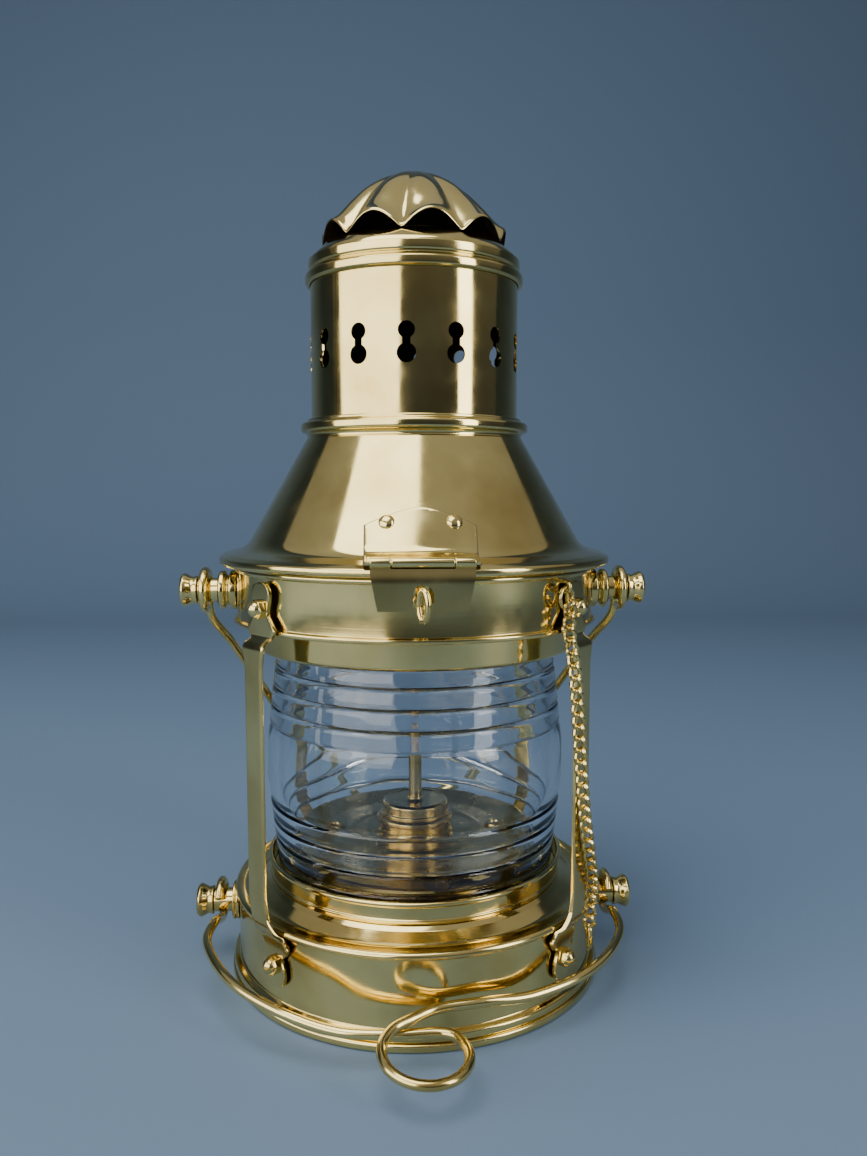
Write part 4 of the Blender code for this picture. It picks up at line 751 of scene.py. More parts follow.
plate_line = [(-PLATE_HALF, 0), (PLATE_HALF, 0), (PLATE_HALF, SHOULDER)]
for share in [1 - i / 10 for i in range(1, 20)]:
    plate_line.append((PLATE_HALF * share, SHOULDER + (CREST - SHOULDER) * (1 - abs(share) ** 1.5)))
plate_line.append((-PLATE_HALF, SHOULDER))
hasp_plate = sheet_mesh(plate_line, 1.0 * MM, HASP_SHEET, on_hood, 0.3 * MM)
# Painted shade: this dark sheet lies just under the plate's outline and a little wider than it, standing for
# the shade in the gap round the plate.
painted_gap_shade, gap_shade_tree, polish = new_material("painted_gap_shade")
gap_shade_here = add(gap_shade_tree, "ShaderNodeTexCoord")["Object"]
gap_shade_grain = noise(gap_shade_tree, 600, 4, gap_shade_here)
gap_shade_colour = blended(gap_shade_tree, gap_shade_grain, (0.05, 0.045, 0.03, 1), (0.13, 0.11, 0.07, 1))
feed(gap_shade_tree, polish, {"Base Color": gap_shade_colour, "Roughness": 0.75})
gap_shade_line = [(x * (1 + GAP_SHADE_WIDTH / PLATE_HALF), s if s == 0 else s + GAP_SHADE_WIDTH) for x, s in plate_line]
gap_shade_sheet = sheet_mesh(gap_shade_line, 1.0 * MM, 0.15 * MM, lambda x, s, off: on_hood(x, s, off - 0.26 * MM))
piece("hasp_plate_polish_line", gap_shade_sheet, painted_gap_shade, ["hasp_plate"], HOOD)
PIN_BORE = PIN_R + CLEAR
middle = barrel(KNUCKLE_R, PIN_BORE, -MIDDLE_HALF, MIDDLE_HALF, pin_at)
piece("hasp_hinge_plate", joined([hasp_plate, middle]), sheet_brass, ["hasp_plate"], HOOD)
hasp_pin = pin_mesh(PIN_R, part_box("hasp_pin")[1].x, 0.3, 20, (0, pin_at.y, pin_at.z))
piece("hasp_hinge_pin", hasp_pin, wire_brass, ["hasp_pin"], HOOD)

tab, neck_z = MIDDLE_HALF + CLEAR, -KNUCKLE_R - CLEAR
leaf_half = [
    (LEAF_LOW_HALF, -LEAF_DROP), (LEAF_TOP_HALF, neck_z - KNUCKLE_R), (LEAF_TOP_HALF, LEAF_TAB_Z),
    (tab, LEAF_TAB_Z), (tab, neck_z),
]
slot = arc(0, SLOT_RISE - LEAF_DROP - SLOT_HALF, SLOT_HALF, 0, pi, 14)
leaf_line = leaf_half + [(-x, z) for x, z in reversed(leaf_half)]
leaf_line += [(-SLOT_HALF, -LEAF_DROP)] + slot[::-1] + [(SLOT_HALF, -LEAF_DROP)]


def on_leaf(x, z, off):
    """Leans out from the hinge to a soft crease, then hangs straight."""
    share = min(1, max(0, z / CREASE_Z))
    lean = CREASE_OUT * (share * share * (3 - 2 * share))
    return (x, pin_at.y - HASP_SHEET / 2 - lean + HASP_SHEET - off, pin_at.z + z)


leaf = [sheet_mesh(leaf_line, 0.9 * MM, HASP_SHEET, on_leaf, 0.25 * MM)]
for ends in ((tab, LEAF_TOP_HALF), (-LEAF_TOP_HALF, -tab)):
    leaf.append(barrel(KNUCKLE_R, PIN_BORE, *ends, pin_at))
piece("hasp_slotted_leaf", joined(leaf), sheet_brass, ["hasp_leaf"], "hasp")
staple_z = middle_of("hasp_staple").z
staple_y = pin_at.y - STAPLE_HALF - STAPLE_WIRE
eye_ring = [(0, STAPLE_HALF * cos(a), STAPLE_TALL * sin(a)) for a in spread(0, tau, 41)[:-1]]
turned_eye = Matrix.Translation((0, staple_y, staple_z)) @ Matrix.Rotation(STAPLE_TWIST, 4, "Z")
eye = placed(wire_mesh(eye_ring, STAPLE_WIRE, cyclic=True), turned_eye)
stem = wire_mesh([(0, -BAND_R, staple_z), (0, staple_y + STAPLE_HALF * 0.8, staple_z)], STAPLE_WIRE * 1.3)
washer_at = Matrix.Translation((0, -BAND_R + 0.1 * MM, staple_z)) @ Matrix.Rotation(pi / 2, 4, "X")
washer = placed(disc(3.4 * MM, 1.1 * MM, 0.5, 32), washer_at)
piece("hasp_eye", joined([eye, stem, washer]), wire_brass, ["hasp_staple"])

# Fastenings: domed rivets hold the hasp plate, and an acorn nut on a washer closes each lobed end
# of the guard straps. Each kind is one small turned shape, set out by its own list of places.
RIVET_R, RIVET_H, RIVET_SUNK = 3.2 * MM, 1.7 * MM, -0.3 * MM
NUT_R, NUT_H, DOME_FOOT = 4.0 * MM, 6.2 * MM, 2.4 * MM
STRAP_AZIMUTHS = {"front_right": 50, "rear_right": 130, "rear_left": 230, "front_left": 310}
facing_tree, given = new_tree("fastenings", {"Shape": "Object", "Size": "Float", "Finish": "Material"})
shape_info = add(facing_tree, "GeometryNodeObjectInfo", {"Object": given["Shape"]})
facing = add(facing_tree, "GeometryNodeInputNamedAttribute", {"Name": "facing"}, data_type="FLOAT_VECTOR")
aligned = add(facing_tree, "FunctionNodeAlignRotationToVector", {"Vector": facing[0]}, axis="Z")
end_tree(facing_tree, given, add(facing_tree, "GeometryNodeInstanceOnPoints", {
    "Points": given["Geometry"], "Instance": shape_info["Geometry"],
    "Rotation": aligned[0], "Scale": given["Size"],
})[0])


def set_out(shape_mesh, places, finish):
    """Copies of a shape at each place, its Z turned to face the place's direction."""
    seeds = mesh_of("places", [at for at, _ in places], [])
    direction = seeds.attributes.new("facing", "FLOAT_VECTOR", "POINT")
    for spot, (_, way) in zip(direction.data, places):
        spot.vector = way
    shape = new_object("shape", shape_mesh)
    mesh = run_tree(seeds, facing_tree, {"Shape": shape, "Size": 1.0, "Finish": finish})
    bpy.data.objects.remove(shape)
    return mesh


def out_from_axis(azimuth):
    return Vector((sin(azimuth), -cos(azimuth), 0))


rivet_line = [(0, RIVET_H)] + [(RIVET_R * sin(a), RIVET_H * cos(a)) for a in spread(0, pi / 2, 10)[1:]]
rivet = spun_mesh(rivet_line + [(RIVET_R, RIVET_SUNK), (0, RIVET_SUNK)], 32)
slope = Vector((NECK_Z - CONE_FOOT_Z, CONE_FOOT_R - NECK_R)).normalized()
rivet_nodes = ["hasp_rivet_left", "hasp_rivet_right"]
rivet_places = []
for name in rivet_nodes:
    centre = middle_of(name)
    way = out_from_axis(atan2(centre.x, -centre.y)) * slope.x + Vector((0, 0, slope.y))
    rivet_places.append((centre - way * RIVET_H / 2, way))
piece("hasp_rivets", set_out(rivet, rivet_places, sheet_brass), sheet_brass, rivet_nodes, HOOD)
hexagon = arc(0, 0, NUT_R, 0, tau, 7)[:-1]
hex_foot = sheet_mesh(hexagon, 3 * MM, 2.6 * MM, lambda x, y, off: (x, y, 0.7 * MM + off))
hex_foot = bevelled(hex_foot, 0.3 * MM, 40)
dome = [(0, NUT_H), (0.5 * MM, NUT_H - 0.05 * MM)]
dome += [(NUT_R * 0.84 * sin(a), 2.9 * MM + (NUT_H - 3.1 * MM) * cos(a)) for a in spread(0, pi / 2, 11)[3:]]
dome = spun_mesh(dome + [(NUT_R * 0.84, DOME_FOOT), (0, DOME_FOOT)], 32)
nut = joined([hex_foot, dome, disc(4.6 * MM, 0.8 * MM, 0.4, 36)])
corners = [f"{end}_{side}" for end in ("front", "rear") for side in ("left", "right")]
nut_names, nut_places = [], []
for name, corner in [(f"nut_{level}_{corner}", corner) for level in ("upper", "lower") for corner in corners]:
    way = out_from_axis(radians(STRAP_AZIMUTHS[corner]))
    nut_names.append(name)
    nut_places.append((middle_of(name) - way * NUT_H / 2, way))
piece("acorn_nuts", set_out(nut, nut_places, sheet_brass), sheet_brass, nut_names)

# Guard straps: four flat bars, lobed and drilled at their ends, that stand off the lens and are
# joggled in to the band above and the base below. The lower ends lean towards front and back.
STRAP_HALF, STRAP_T, STRAP_OUT, JOGGLE = 5.5 * MM, 1.5 * MM, 4.1 * MM, 4.5 * MM
LOBE_HALF, WAIST_HALF, FLARE_HALF, PLATE_TALL, LOWER_SHIFT = 6.2 * MM, 4.6 * MM, 9.2 * MM, 22.0 * MM, 6.0 * MM
STRAP_ROWS, STRAP_COLUMNS = 210, 8
STRAP_TOP = heights_of("guard_front_left")[1]
PLATE_R = BAND_BEAD_R + CLEAR
UPPER_LOBE = ((0.0, 0.10), (0.02, 0.42), (0.07, 0.78), (0.2, 1.0), (0.34, 0.97), (0.46, 0.80))
UPPER_FLARE = ((0.56, WAIST_HALF), (0.68, FLARE_HALF * 0.72), (0.86, FLARE_HALF), (1.0, FLARE_HALF * 0.82))
LOWER_PLATE = (
    (0.0, 0.68), (0.12, 1.0), (0.26, 0.84), (0.4, 0.55), (0.55, 0.68), (0.72, 0.72), (0.86, 0.6),
    (0.93, 0.34), (0.95, 0.08),
)
bend_z, fold_z, foot_z = BAND_LOW - JOGGLE, RIM_TOP + JOGGLE, RIM_TOP - roll - 2 * CLEAR
# Height, half width, distance out and shift to the side
stations = [(STRAP_TOP - PLATE_TALL * share, LOBE_HALF * wide, 0.0, 0.0) for share, wide in UPPER_LOBE]
stations += [(STRAP_TOP - PLATE_TALL * share, half, 0.0, 0.0) for share, half in UPPER_FLARE]
stations += [
    (bend_z + JOGGLE * 0.5, FLARE_HALF * 0.62, STRAP_OUT * 0.35, 0.0),
    (bend_z, STRAP_HALF * 1.25, STRAP_OUT, 0.0),
    (bend_z - 2 * JOGGLE, STRAP_HALF, STRAP_OUT, 0.0),
    ((bend_z + fold_z) / 2, STRAP_HALF, STRAP_OUT, 0.0),
    (fold_z + 2 * JOGGLE, STRAP_HALF, STRAP_OUT, 0.0),
    (fold_z, STRAP_HALF, STRAP_OUT, LOWER_SHIFT * 0.25),
    (RIM_TOP - JOGGLE * 0.2, STRAP_HALF * 1.2, STRAP_OUT * 0.72, LOWER_SHIFT * 0.6),
]
for share, wide in LOWER_PLATE:
    stations.append((foot_z - PLATE_TALL * share, FLARE_HALF * wide, 0.0, LOWER_SHIFT))


def eased(rows, z):
    """A station's values at a height, on a smooth curve that never overshoots its neighbours."""
    at = next(i for i in range(len(rows) - 1) if z >= rows[i + 1][0] or i == len(rows) - 2)
    span = rows[at + 1][0] - rows[at][0]
    values = []
    for k in range(1, 4):
        slopes = []
        for i in (at, at + 1):
            low, high = max(i - 1, 0), min(i + 1, len(rows) - 1)
            before = (rows[i][k] - rows[low][k]) / (rows[i][0] - rows[low][0]) if i > low else 0
            after = (rows[high][k] - rows[i][k]) / (rows[high][0] - rows[i][0]) if high > i else 0
            slopes.append(0 if before * after <= 0 else 2 * before * after / (before + after))
        values.append(hermite(rows[at][k], rows[at + 1][k], *slopes, span, (z - rows[at][0]) / span))
    return values


def strap_mesh(azimuth, fore):
    """A ribbon of rows down the strap, thickened outwards and eased at its edges."""
    points, faces = [], []
    for z in spread(STRAP_TOP, stations[-1][0], STRAP_ROWS + 1):
        half, out, shift = eased(stations, z)
        for side in spread(-1, 1, STRAP_COLUMNS + 1):
            points.append((half * side + fore * shift, -(PLATE_R + out), z))
    for i in range(STRAP_ROWS):
        for j in range(STRAP_COLUMNS):
            a = i * (STRAP_COLUMNS + 1) + j
            faces.append((a + STRAP_COLUMNS + 1, a + STRAP_COLUMNS + 2, a + 1, a))
    obj = new_object("strap", mesh_of("strap", points, faces))
    skin = obj.modifiers.new("thickness", "SOLIDIFY")
    skin.thickness, skin.offset = STRAP_T, 1.0
    return outward(placed(bevelled(settled(obj), 0.35 * MM), Matrix.Rotation(radians(azimuth), 4, "Z")))


for name, azimuth in STRAP_AZIMUTHS.items():
    fore = 1 if name in ("rear_right", "front_left") else -1
    piece("strap_" + name, strap_mesh(azimuth, fore), sheet_brass, ["guard_" + name])

# Pivots: grooved bosses stand out of both bands on either side, each with a waisted thumb knob
# on its end that pinches the bail's eye. Turned from bar and set out like the fastenings.
BOSS_R, SHANK_R, KNOB_R, KNOB_WAIST = 8.8 * MM, 5.4 * MM, 7.6 * MM, 5.9 * MM
BOSS_LONG, LOWER_BOSS_LONG = 8.2 * MM, 3.0 * MM
SIDES = (("left", -1), ("right", 1))
turned_brass = brass("turned_bar_brass", BRIGHT_BRASS, DEEP_BRASS, 0.08, 0.18)


def boss_mesh(length, boss_long):
    """A grooved boss and its shank; the shorter boss is the same shape pressed together."""
    groove, squash = boss_long * 0.4, boss_long / BOSS_LONG
    unit = squash * MM
    low_r = BOSS_R - 2 * unit
    return turned([
        (0, length), (SHANK_R, length, 0.3), (SHANK_R, boss_long + 0.2 * unit, 0.4 * squash),
        (BOSS_R - unit, boss_long, 0.4 * squash), (BOSS_R, boss_long - 0.8 * unit, 0.9 * squash),
        (BOSS_R, groove + 2.2 * unit, 0.7 * squash), (low_r, groove + 1.3 * unit, 0.6 * squash),
        (low_r, groove + 0.5 * unit, 0.6 * squash), (BOSS_R, groove - 0.3 * unit, 0.7 * squash),
        (BOSS_R, 0, 0.3 * squash), (0, 0),
    ], 56)


def knob_mesh(length):
    return turned([
        (0, length - 0.6 * MM), (KNOB_R * 0.5, length - 0.5 * MM, 1), (KNOB_R * 0.62, length, 0.6),
        (KNOB_R * 0.88, length, 0.8), (KNOB_R, length * 0.84, 0.8), (KNOB_R * 0.94, length * 0.64, 0.8),
        (KNOB_WAIST, length * 0.34, 2.2), (KNOB_WAIST * 1.12, 0, 0.5), (0, 0),
    ], 56, 6)


for level, boss_long in (("upper", BOSS_LONG), ("lower", LOWER_BOSS_LONG)):
    meshes, nodes = [], []
    for part in ("boss", "knob"):
        places = []
        for side, way in SIDES:
            nodes.append(f"bail_{part}_{level}_{side}")
            low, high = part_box(nodes[-1])
            inner = low.x if way > 0 else high.x
            places.append((Vector((inner, 0, (low.z + high.z) / 2)), Vector((way, 0, 0))))
        long = high.x - low.x
        shape = boss_mesh(long, boss_long) if part == "boss" else knob_mesh(long)
        meshes.append(set_out(shape, places, turned_brass))
    piece(level + "_pivots", joined(meshes), turned_brass, nodes)

# Bails: each bent cold from one length of round wire, an eye at either end and a full ring turned
# in the middle. The tall one lies back on the table, and the short one is held out in front.
BAIL_WIRE, EYE_PLAY, LOOP_R, SIDESTEP = 2.0 * MM, 1.1 * MM, 16.0 * MM, 4.0 * MM
EYE_R = SHANK_R + EYE_PLAY + BAIL_WIRE
EYE_DEGREES = (330, 290, 250, 210, 170, 130, 95, 62)
LOOP_DEGREES = (60, 25, -10, -45, -80, -115, -150, -185, -220, -252)
UPPER_REACH, LOWER_REACH, LOWER_DROP = 196.0 * MM, 94.0 * MM, radians(6)
# Each arm, as shares of the pivot's distance from the middle and of the bail's reach
UPPER_START = ((1.0, 0.09), (0.917, 0.2), (0.759, 0.45), (0.611, 0.68))
UPPER_ARMS = (
    UPPER_START + ((0.473, 0.86), (0.247, 0.975), (0.079, 1.0)),
    UPPER_START + ((0.454, 0.85), (0.237, 0.945), (0.059, 0.97)),
)
LOWER_ARMS = (
    ((1.0, 0.2), (1.011, 0.36), (0.918, 0.57), (0.783, 0.74), (0.577, 0.9), (0.351, 0.975), (0.104, 1.0)),
    ((1.0, 0.2), (0.989, 0.36), (0.887, 0.54), (0.722, 0.7), (0.484, 0.82), (0.268, 0.89), (0.062, 0.925)),
)


def smooth_route(points, count):
    """Evenly spaced points on a Catmull-Rom curve through the given ones."""
    ends = [points[0] * 2 - points[1]] + list(points) + [points[-1] * 2 - points[-2]]
    fine = []
    for a, b, c, d in zip(ends, ends[1:], ends[2:], ends[3:]):
        for t in spread(0, 1, 17)[:-1]:
            bend, twist = 2 * a - 5 * b + 4 * c - d, 3 * b - a - 3 * c + d
            fine.append(0.5 * ((2 * b) + (c - a) * t + bend * t ** 2 + twist * t ** 3))
    fine.append(points[-1])
    lengths = [0.0]
    for a, b in zip(fine, fine[1:]):
        lengths.append(lengths[-1] + (b - a).length)
    route, at = [], 0
    for wanted in spread(0.0, lengths[-1], count):
        while at < len(fine) - 2 and lengths[at + 1] < wanted:
            at += 1
        share = (wanted - lengths[at]) / (lengths[at + 1] - lengths[at])
        route.append(fine[at].lerp(fine[at + 1], min(1.0, share)))
    return route


def bail(name, node, body, pivot, arms, reach, over, lean):
    """Eye, arm, ring loop, arm and eye, with the right arm crossing on the side that over names."""
    step = over * (BAIL_WIRE + 2 * CLEAR)
    halves = []
    for side, shares in zip((-1, 1), arms):
        eye = [Vector((side * pivot.x, EYE_R * sin(a), -EYE_R * cos(a))) for a in map(radians, EYE_DEGREES)]
        arm = [Vector((side * pivot.x * x, 0, -reach * s)) for x, s in shares]
        arm[-1].y = arm[-2].y = side * step
        halves.append(eye + arm)
    centre = -(reach + LOOP_R - SIDESTEP / 2)
    loop = [
        Vector((LOOP_R * cos(a), across, centre + LOOP_R * sin(a)))
        for a, across in zip(map(radians, LOOP_DEGREES), spread(-step, step, len(LOOP_DEGREES)))
    ]
    wire = wire_mesh(smooth_route(halves[0] + loop + halves[1][::-1], 300), BAIL_WIRE, resolution=5)
    stand = Matrix.Translation((0, 0, pivot.z)) @ Matrix.Rotation(lean, 4, "X")
    piece(name, placed(wire, stand), wire_brass, [node], body)


upper_pivot = Vector((94.2 * MM, 0, middle_of("bail_boss_upper_left").z))
lower_pivot = Vector((90.1 * MM, 0, middle_of("bail_boss_lower_left").z))
upper_far = UPPER_REACH + 2 * LOOP_R - SIDESTEP / 2
upper_lean = pi / 2 - asin((upper_pivot.z - BAIL_WIRE - 2 * CLEAR) / upper_far)
bail("carrying_bail_wire", "upper_bail", "carrying_bail", upper_pivot, UPPER_ARMS, UPPER_REACH, 1, upper_lean)
lower_lean = LOWER_DROP - pi / 2
bail(
    "tie_down_bail_wire", "lower_bail", "tie_down_bail", lower_pivot, LOWER_ARMS, LOWER_REACH, -1, lower_lean,
)

# Keeper chain: a curb chain on a split ring, hung from an eye soldered to the band. It falls over
# the right-hand strap and ends in the small pin that locks the hasp.
CHAIN_AZIMUTH, CHAIN_HALF, PIN_LONG, PIN_ROUND = radians(44), 1.8 * MM, 12.0 * MM, 1.5 * MM
CHAIN_RING_R, CHAIN_RING_WIRE, CHAIN_EYE_R, CHAIN_EYE_WIRE = 4.3 * MM, 0.75 * MM, 2.1 * MM, 0.7 * MM
LINK_LONG, LINK_WIDE, LINK_WIRE, LINK_TWIST = 8.5 * MM, 5.9 * MM, 0.9 * MM, radians(-45)
# Azimuth in degrees, share of the strap's distance out, and share of the chain's height
CHAIN_ROUTE = (
    (43.9, 0.0, 1.0), (43.3, 0.12, 0.946), (43.1, 0.61, 0.879), (43.6, 0.9, 0.798), (45.6, 1.0, 0.591),
    (47.6, 1.0, 0.429), (50.6, 1.0, 0.281), (54.6, 0.76, 0.17), (57.2, 0.27, 0.081), (57.8, 0.07, 0.0),
)
eye_z = BAND_HIGH - BEAD - CHAIN_EYE_R - CHAIN_EYE_WIRE - CLEAR
ring_z = eye_z - CHAIN_RING_R
near_r = PLATE_R + STRAP_T + 4 * CLEAR + CHAIN_HALF
chain_foot = RIM_TOP - 2 * roll
chain_drop = ring_z - CHAIN_RING_R - CHAIN_RING_WIRE - 2 * CLEAR - chain_foot
chain_points = []
for azimuth, out, up in CHAIN_ROUTE:
    chain_points.append(out_from_axis(radians(azimuth)) * (near_r + STRAP_OUT * out))
    chain_points[-1].z = chain_foot + chain_drop * up
chain_points[0].z += 1.5 * MM
chain_route = smooth_route(chain_points, 120)
chain_long = sum((b - a).length for a, b in zip(chain_route, chain_route[1:]))
chain_tree, given = new_tree("curb_chain", {"Link": "Object", "Links": "Int", "Finish": "Material"})
as_curve = add(chain_tree, "GeometryNodeMeshToCurve", {0: given["Geometry"]})[0]
hooks = add(chain_tree, "GeometryNodeCurveToPoints", {0: as_curve, "Count": given["Links"]})
link_info = add(chain_tree, "GeometryNodeObjectInfo", {"Object": given["Link"]})
end_tree(chain_tree, given, add(chain_tree, "GeometryNodeInstanceOnPoints", {
    "Points": hooks["Points"], "Instance": link_info["Geometry"], "Rotation": hooks["Rotation"],
})[0])
half_long, half_wide = LINK_LONG / 2 - LINK_WIRE, LINK_WIDE / 2 - LINK_WIRE
link_round = [
    Matrix.Rotation(LINK_TWIST * sin(a), 3, "Z") @ Vector((half_wide * cos(a), 0, half_long * sin(a)))
    for a in spread(0, tau, 33)[:-1]
]
link_turn = Matrix.Rotation(radians(12), 4, "Z") @ Matrix.Rotation(radians(14), 4, "Y")
link_mesh = wire_mesh(link_round, LINK_WIRE, cyclic=True, resolution=2)
link_object = new_object("link", placed(link_mesh, link_turn))
route_mesh = bpy.data.meshes.new("route")
route_mesh.from_pydata(chain_route, [(i, i + 1) for i in range(len(chain_route) - 1)], [])
links = round(chain_long / (LINK_LONG - 4 * LINK_WIRE))
chain = run_tree(route_mesh, chain_tree, {"Link": link_object, "Links": links, "Finish": wire_brass})
bpy.data.objects.remove(link_object)
piece("curb_chain", chain, wire_brass, ["keeper_chain"])


def facing_out(azimuth, radius, height):
    """Local Z points away from the lantern's axis."""
    stand = Matrix.Rotation(azimuth, 4, "Z") @ Matrix.Translation((0, -radius, height))
    return stand @ Matrix.Rotation(pi / 2, 4, "X")


ring_reach = PLATE_R + STRAP_T + CLEAR + CHAIN_RING_WIRE
ring_round = [(x, y, 0) for x, y in arc(0, 0, CHAIN_RING_R, 0, tau, 49)[:-1]]
split_ring = wire_mesh(ring_round, CHAIN_RING_WIRE, cyclic=True)
split_ring = placed(split_ring, facing_out(CHAIN_AZIMUTH, ring_reach, ring_z))
piece("chain_split_ring", split_ring, wire_brass, ["chain_ring"])
leg = ring_reach - (CHAIN_EYE_R - CHAIN_EYE_WIRE - CHAIN_RING_WIRE - CLEAR) - BAND_R - CLEAR
bow = [(0, CHAIN_EYE_R * sin(a), leg + CHAIN_EYE_R * cos(a)) for a in spread(-pi / 2, pi / 2, 21)]
eye_path = [(0, -CHAIN_EYE_R, -CLEAR)] + bow + [(0, CHAIN_EYE_R, -CLEAR)]
chain_eye = placed(wire_mesh(eye_path, CHAIN_EYE_WIRE), facing_out(CHAIN_AZIMUTH, BAND_R + CLEAR, eye_z))
piece("chain_band_eye", chain_eye, wire_brass, ["chain_eye"])
pin_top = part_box("locking_pin")[1].z
keeper = turned([
    (0, pin_top), (PIN_ROUND * 0.8, pin_top, 0.5), (PIN_ROUND, pin_top - 1.2 * MM, 0.5),
    (PIN_ROUND * 0.7, pin_top - 2.0 * MM, 0.3), (PIN_ROUND, pin_top - 2.8 * MM, 0.3),
    (PIN_ROUND, pin_top - PIN_LONG + 2 * MM, 1), (PIN_ROUND * 0.5, pin_top - PIN_LONG, 0.4),
    (0, pin_top - PIN_LONG),
], 28)
keeper_at = middle_of("locking_pin")
keeper = placed(keeper, Matrix.Translation((keeper_at.x, keeper_at.y, 0)))
piece("hasp_locking_pin", keeper, wire_brass, ["locking_pin"])

# Font and burner: the oil font drops into the base, its dished top closed by a filler plug on
# either side. A stepped burner cap stands on it, with a bored tube and the cotton wick.
FONT_LOW, FONT_HIGH = heights_of("font_body")
FONT_LIP_R, FONT_R = radius_of("font_body"), 50.0 * MM
COLLAR_FOOT, COLLAR_STEP = heights_of("font_collar")
BURNER_LOW, BURNER_HIGH = heights_of("burner_cap")
FLANGE_R, BURNER_R = radius_of("font_collar"), 15.2 * MM
TUBE_FOOT, TUBE_TOP = heights_of("wick_tube")
BORED_R, BORE_R = radius_of("wick_tube"), 1.9 * MM
WICK_LOW, WICK_HIGH = heights_of("wick")
WICK_R, WICK_STRANDS, WICK_TURN = radius_of("wick"), 3, 9
floor_z = FONT_HIGH - 2.6 * MM


def oily(name, mesh, node):
    piece(name, mesh, dark_brass, [node])


font = turned([
    (0, floor_z), (FONT_R * 0.55, floor_z, 1), (FONT_R * 0.6, floor_z + 0.7 * MM, 0.7),
    (FONT_R * 0.66, floor_z, 1), (FONT_R * 0.86, floor_z, 2), (FONT_LIP_R - 1.8 * MM, FONT_HIGH, 1),
    (FONT_LIP_R, FONT_HIGH, 0.5), (FONT_LIP_R, FONT_HIGH - 0.9 * MM, 0.4), (FONT_R, FONT_HIGH - 9 * MM, 3),
    (FONT_R, FONT_LOW, 2), (0, FONT_LOW),
], 128)
plug = turned([
    (0, 1.4 * MM), (2.2 * MM, 1.4 * MM, 0.3), (2.6 * MM, 2.4 * MM, 0.4), (4.4 * MM, 2.4 * MM, 0.7),
    (4.8 * MM, 0.6 * MM, 0.6), (5.4 * MM, -0.2 * MM, 0.2), (0, -0.2 * MM),
], 40)
plug_places = [(Vector((side * FONT_R * 0.76, 0, floor_z)), Vector((0, 0, 1))) for side in (-1, 1)]
oily("oil_font", joined([font, set_out(plug, plug_places, dark_brass)]), "font_body")
oily("burner_flange", turned([
    (0, COLLAR_STEP), (FLANGE_R - 1.2 * MM, COLLAR_STEP, 0.8), (FLANGE_R, COLLAR_STEP - 0.9 * MM, 0.8),
    (FLANGE_R, COLLAR_STEP - 2.4 * MM, 0.6), (FLANGE_R - 0.9 * MM, COLLAR_STEP - 3.0 * MM, 0.5),
    (FLANGE_R - 0.9 * MM, COLLAR_FOOT + 1.8 * MM, 0.8), (FLANGE_R, COLLAR_FOOT + 0.8 * MM, 0.6),
    (FLANGE_R, COLLAR_FOOT), (0, COLLAR_FOOT),
], 72), "font_collar")
oily("burner_dome", turned([
    (0, BURNER_HIGH - 0.5 * MM), (BURNER_R * 0.82, BURNER_HIGH - 0.5 * MM, 0.6),
    (BURNER_R * 0.88, BURNER_HIGH, 0.6),
    (BURNER_R, BURNER_HIGH - 1.0 * MM, 1.1), (BURNER_R, BURNER_LOW + 1.9 * MM, 0.4),
    (BURNER_R + 0.9 * MM, BURNER_LOW + 1.4 * MM, 0.5), (BURNER_R + 0.9 * MM, BURNER_LOW), (0, BURNER_LOW),
], 72), "burner_cap")
oily("bored_wick_tube", turned([
    (BORE_R, TUBE_TOP, 0.2), (BORED_R, TUBE_TOP, 0.5), (BORED_R, TUBE_TOP - 3 * MM, 0.2),
    (BORED_R - 0.3 * MM, TUBE_TOP - 3.3 * MM, 0.2), (BORED_R, TUBE_TOP - 3.6 * MM, 0.2),
    (BORED_R, TUBE_FOOT + 1 * MM, 0.3), (BORED_R + 0.8 * MM, TUBE_FOOT, 0.2), (BORE_R, TUBE_FOOT),
], 40), "wick_tube")
cotton, cotton_tree, cotton_surface = new_material("wick_cotton")
cotton_here = add(cotton_tree, "ShaderNodeTexCoord")["Object"]
cotton_grain = noise(cotton_tree, 1500, 3, cotton_here)
feed(cotton_tree, cotton_surface, {
    "Base Color": blended(cotton_tree, cotton_grain, (0.74, 0.66, 0.58, 1), (0.46, 0.38, 0.32, 1)),
    "Roughness": 0.9,
    "Normal": bumped(cotton_tree, noise(cotton_tree, 2500, 2, cotton_here), 0.6, 0.2 * MM),
})
strands = []
for k in range(WICK_STRANDS):
    strand = []
    for t in spread(0, 1, 41):
        x, y = [WICK_R * 0.46 * turn(tau * k / WICK_STRANDS + t * WICK_TURN) for turn in (cos, sin)]
        strand.append((x, y, WICK_LOW + (WICK_HIGH - WICK_LOW) * t))
    strands.append(wire_mesh(strand, WICK_R * 0.52, resolution=2))
piece("twisted_wick", joined(strands), cotton, ["wick"], "wick_body")

# Rear hinge: a leaf riveted to the band and one to the hood's rim, three knuckles and a pin, on
# which the whole hood tips back to reach the burner. Same rubbed sheet as the hasp.
HINGE_HALF, HINGE_MIDDLE, HINGE_LEAF = 15.0 * MM, 5.0 * MM, 14.0 * MM
HINGE_KNUCKLE_R, HINGE_PIN_R = 2.7 * MM, 1.3 * MM
WEB = 1.0 * MM          # half thickness of the metal between a knuckle and its leaf
hinge_at = middle_of("hinge_pin")
hinge_bore = HINGE_PIN_R + CLEAR
leaf_y, web_y = BAND_BEAD_R + CLEAR, hinge_at.y + WEB
leaf_top, leaf_low = hinge_at.z - HINGE_KNUCKLE_R - sheet, hinge_at.z - HINGE_LEAF - HINGE_KNUCKLE_R
rim_z, tongue_z = rim_top_z + CLEAR, CONE_FOOT_Z + CLEAR * 0.8
flat_to, tongue_y = RIM_TOP_R - sheet, CONE_FOOT_R + HASP_SHEET


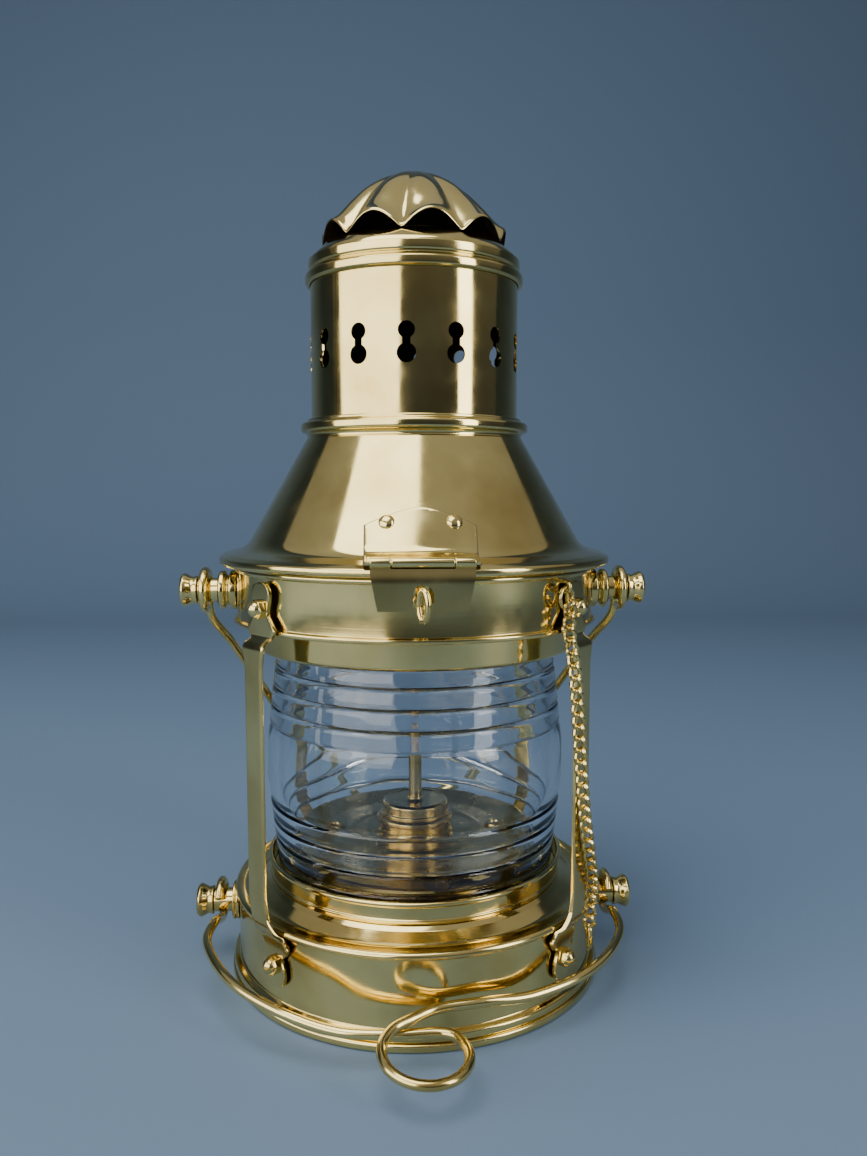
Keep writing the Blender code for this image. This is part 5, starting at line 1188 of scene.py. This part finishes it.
def eased_box(x, y, z):
    """A block between two numbers on each axis, with its edges eased."""
    cube = bmesh.new()
    low, high = map(Vector, zip(x, y, z))
    place = Matrix.Translation((high + low) / 2) @ Matrix.Diagonal((*(high - low), 1))
    bmesh.ops.create_cube(cube, size=1, matrix=place)
    mesh = bpy.data.meshes.new("block")
    cube.to_mesh(mesh)
    cube.free()
    return bevelled(mesh, 0.3 * MM)


def on_rim_back(x, s, off):
    """From the knuckle in over the rim to the cone's foot."""
    y = web_y - s
    rise = 0 if y > flat_to else (tongue_z - rim_z) * (flat_to - y) / (flat_to - tongue_y)
    return (x, y, rim_z + rise + off)


whole, web = (-HINGE_HALF, HINGE_HALF), (hinge_at.y - WEB, web_y)
lower_leaf = [
    eased_box(whole, (leaf_y, leaf_y + HASP_SHEET), (leaf_low, leaf_top)),
    eased_box(whole, (leaf_y, web_y), (leaf_top - HASP_SHEET, leaf_top)),
]
for ends in ((HINGE_MIDDLE + CLEAR, HINGE_HALF), (-HINGE_HALF, -HINGE_MIDDLE - CLEAR)):
    lower_leaf.append(barrel(HINGE_KNUCKLE_R, hinge_bore, *ends, hinge_at))
    lower_leaf.append(eased_box(ends, web, (leaf_top - 0.3 * MM, hinge_at.z - hinge_bore)))
rivet_z = (leaf_low + leaf_top) / 2 - 1 * MM
leaf_rivets = [(Vector((x, leaf_y + HASP_SHEET, rivet_z)), Vector((0, 1, 0))) for x in (-9 * MM, 9 * MM)]
lower_leaf.append(set_out(placed(rivet.copy(), Matrix.Scale(0.6, 4)), leaf_rivets, sheet_brass))
piece("rear_hinge_band_leaf", joined(lower_leaf), sheet_brass, ["hinge_lower"])
piece("rear_hinge_pin", pin_mesh(HINGE_PIN_R, HINGE_HALF, 0.4, 24, hinge_at), wire_brass, ["hinge_pin"])
tongue_line = [(x, s) for s, xs in ((0, whole), (web_y - tongue_y, whole[::-1])) for x in xs]
upper_leaf = [
    sheet_mesh(tongue_line, 1.2 * MM, HASP_SHEET, on_rim_back, 0.3 * MM),
    barrel(HINGE_KNUCKLE_R, hinge_bore, -HINGE_MIDDLE, HINGE_MIDDLE, hinge_at),
    eased_box((-HINGE_MIDDLE, HINGE_MIDDLE), web, (hinge_at.z + hinge_bore, rim_z + 0.5 * MM)),
]
piece("rear_hinge_hood_leaf", joined(upper_leaf), sheet_brass, ["hinge_upper"], HOOD)
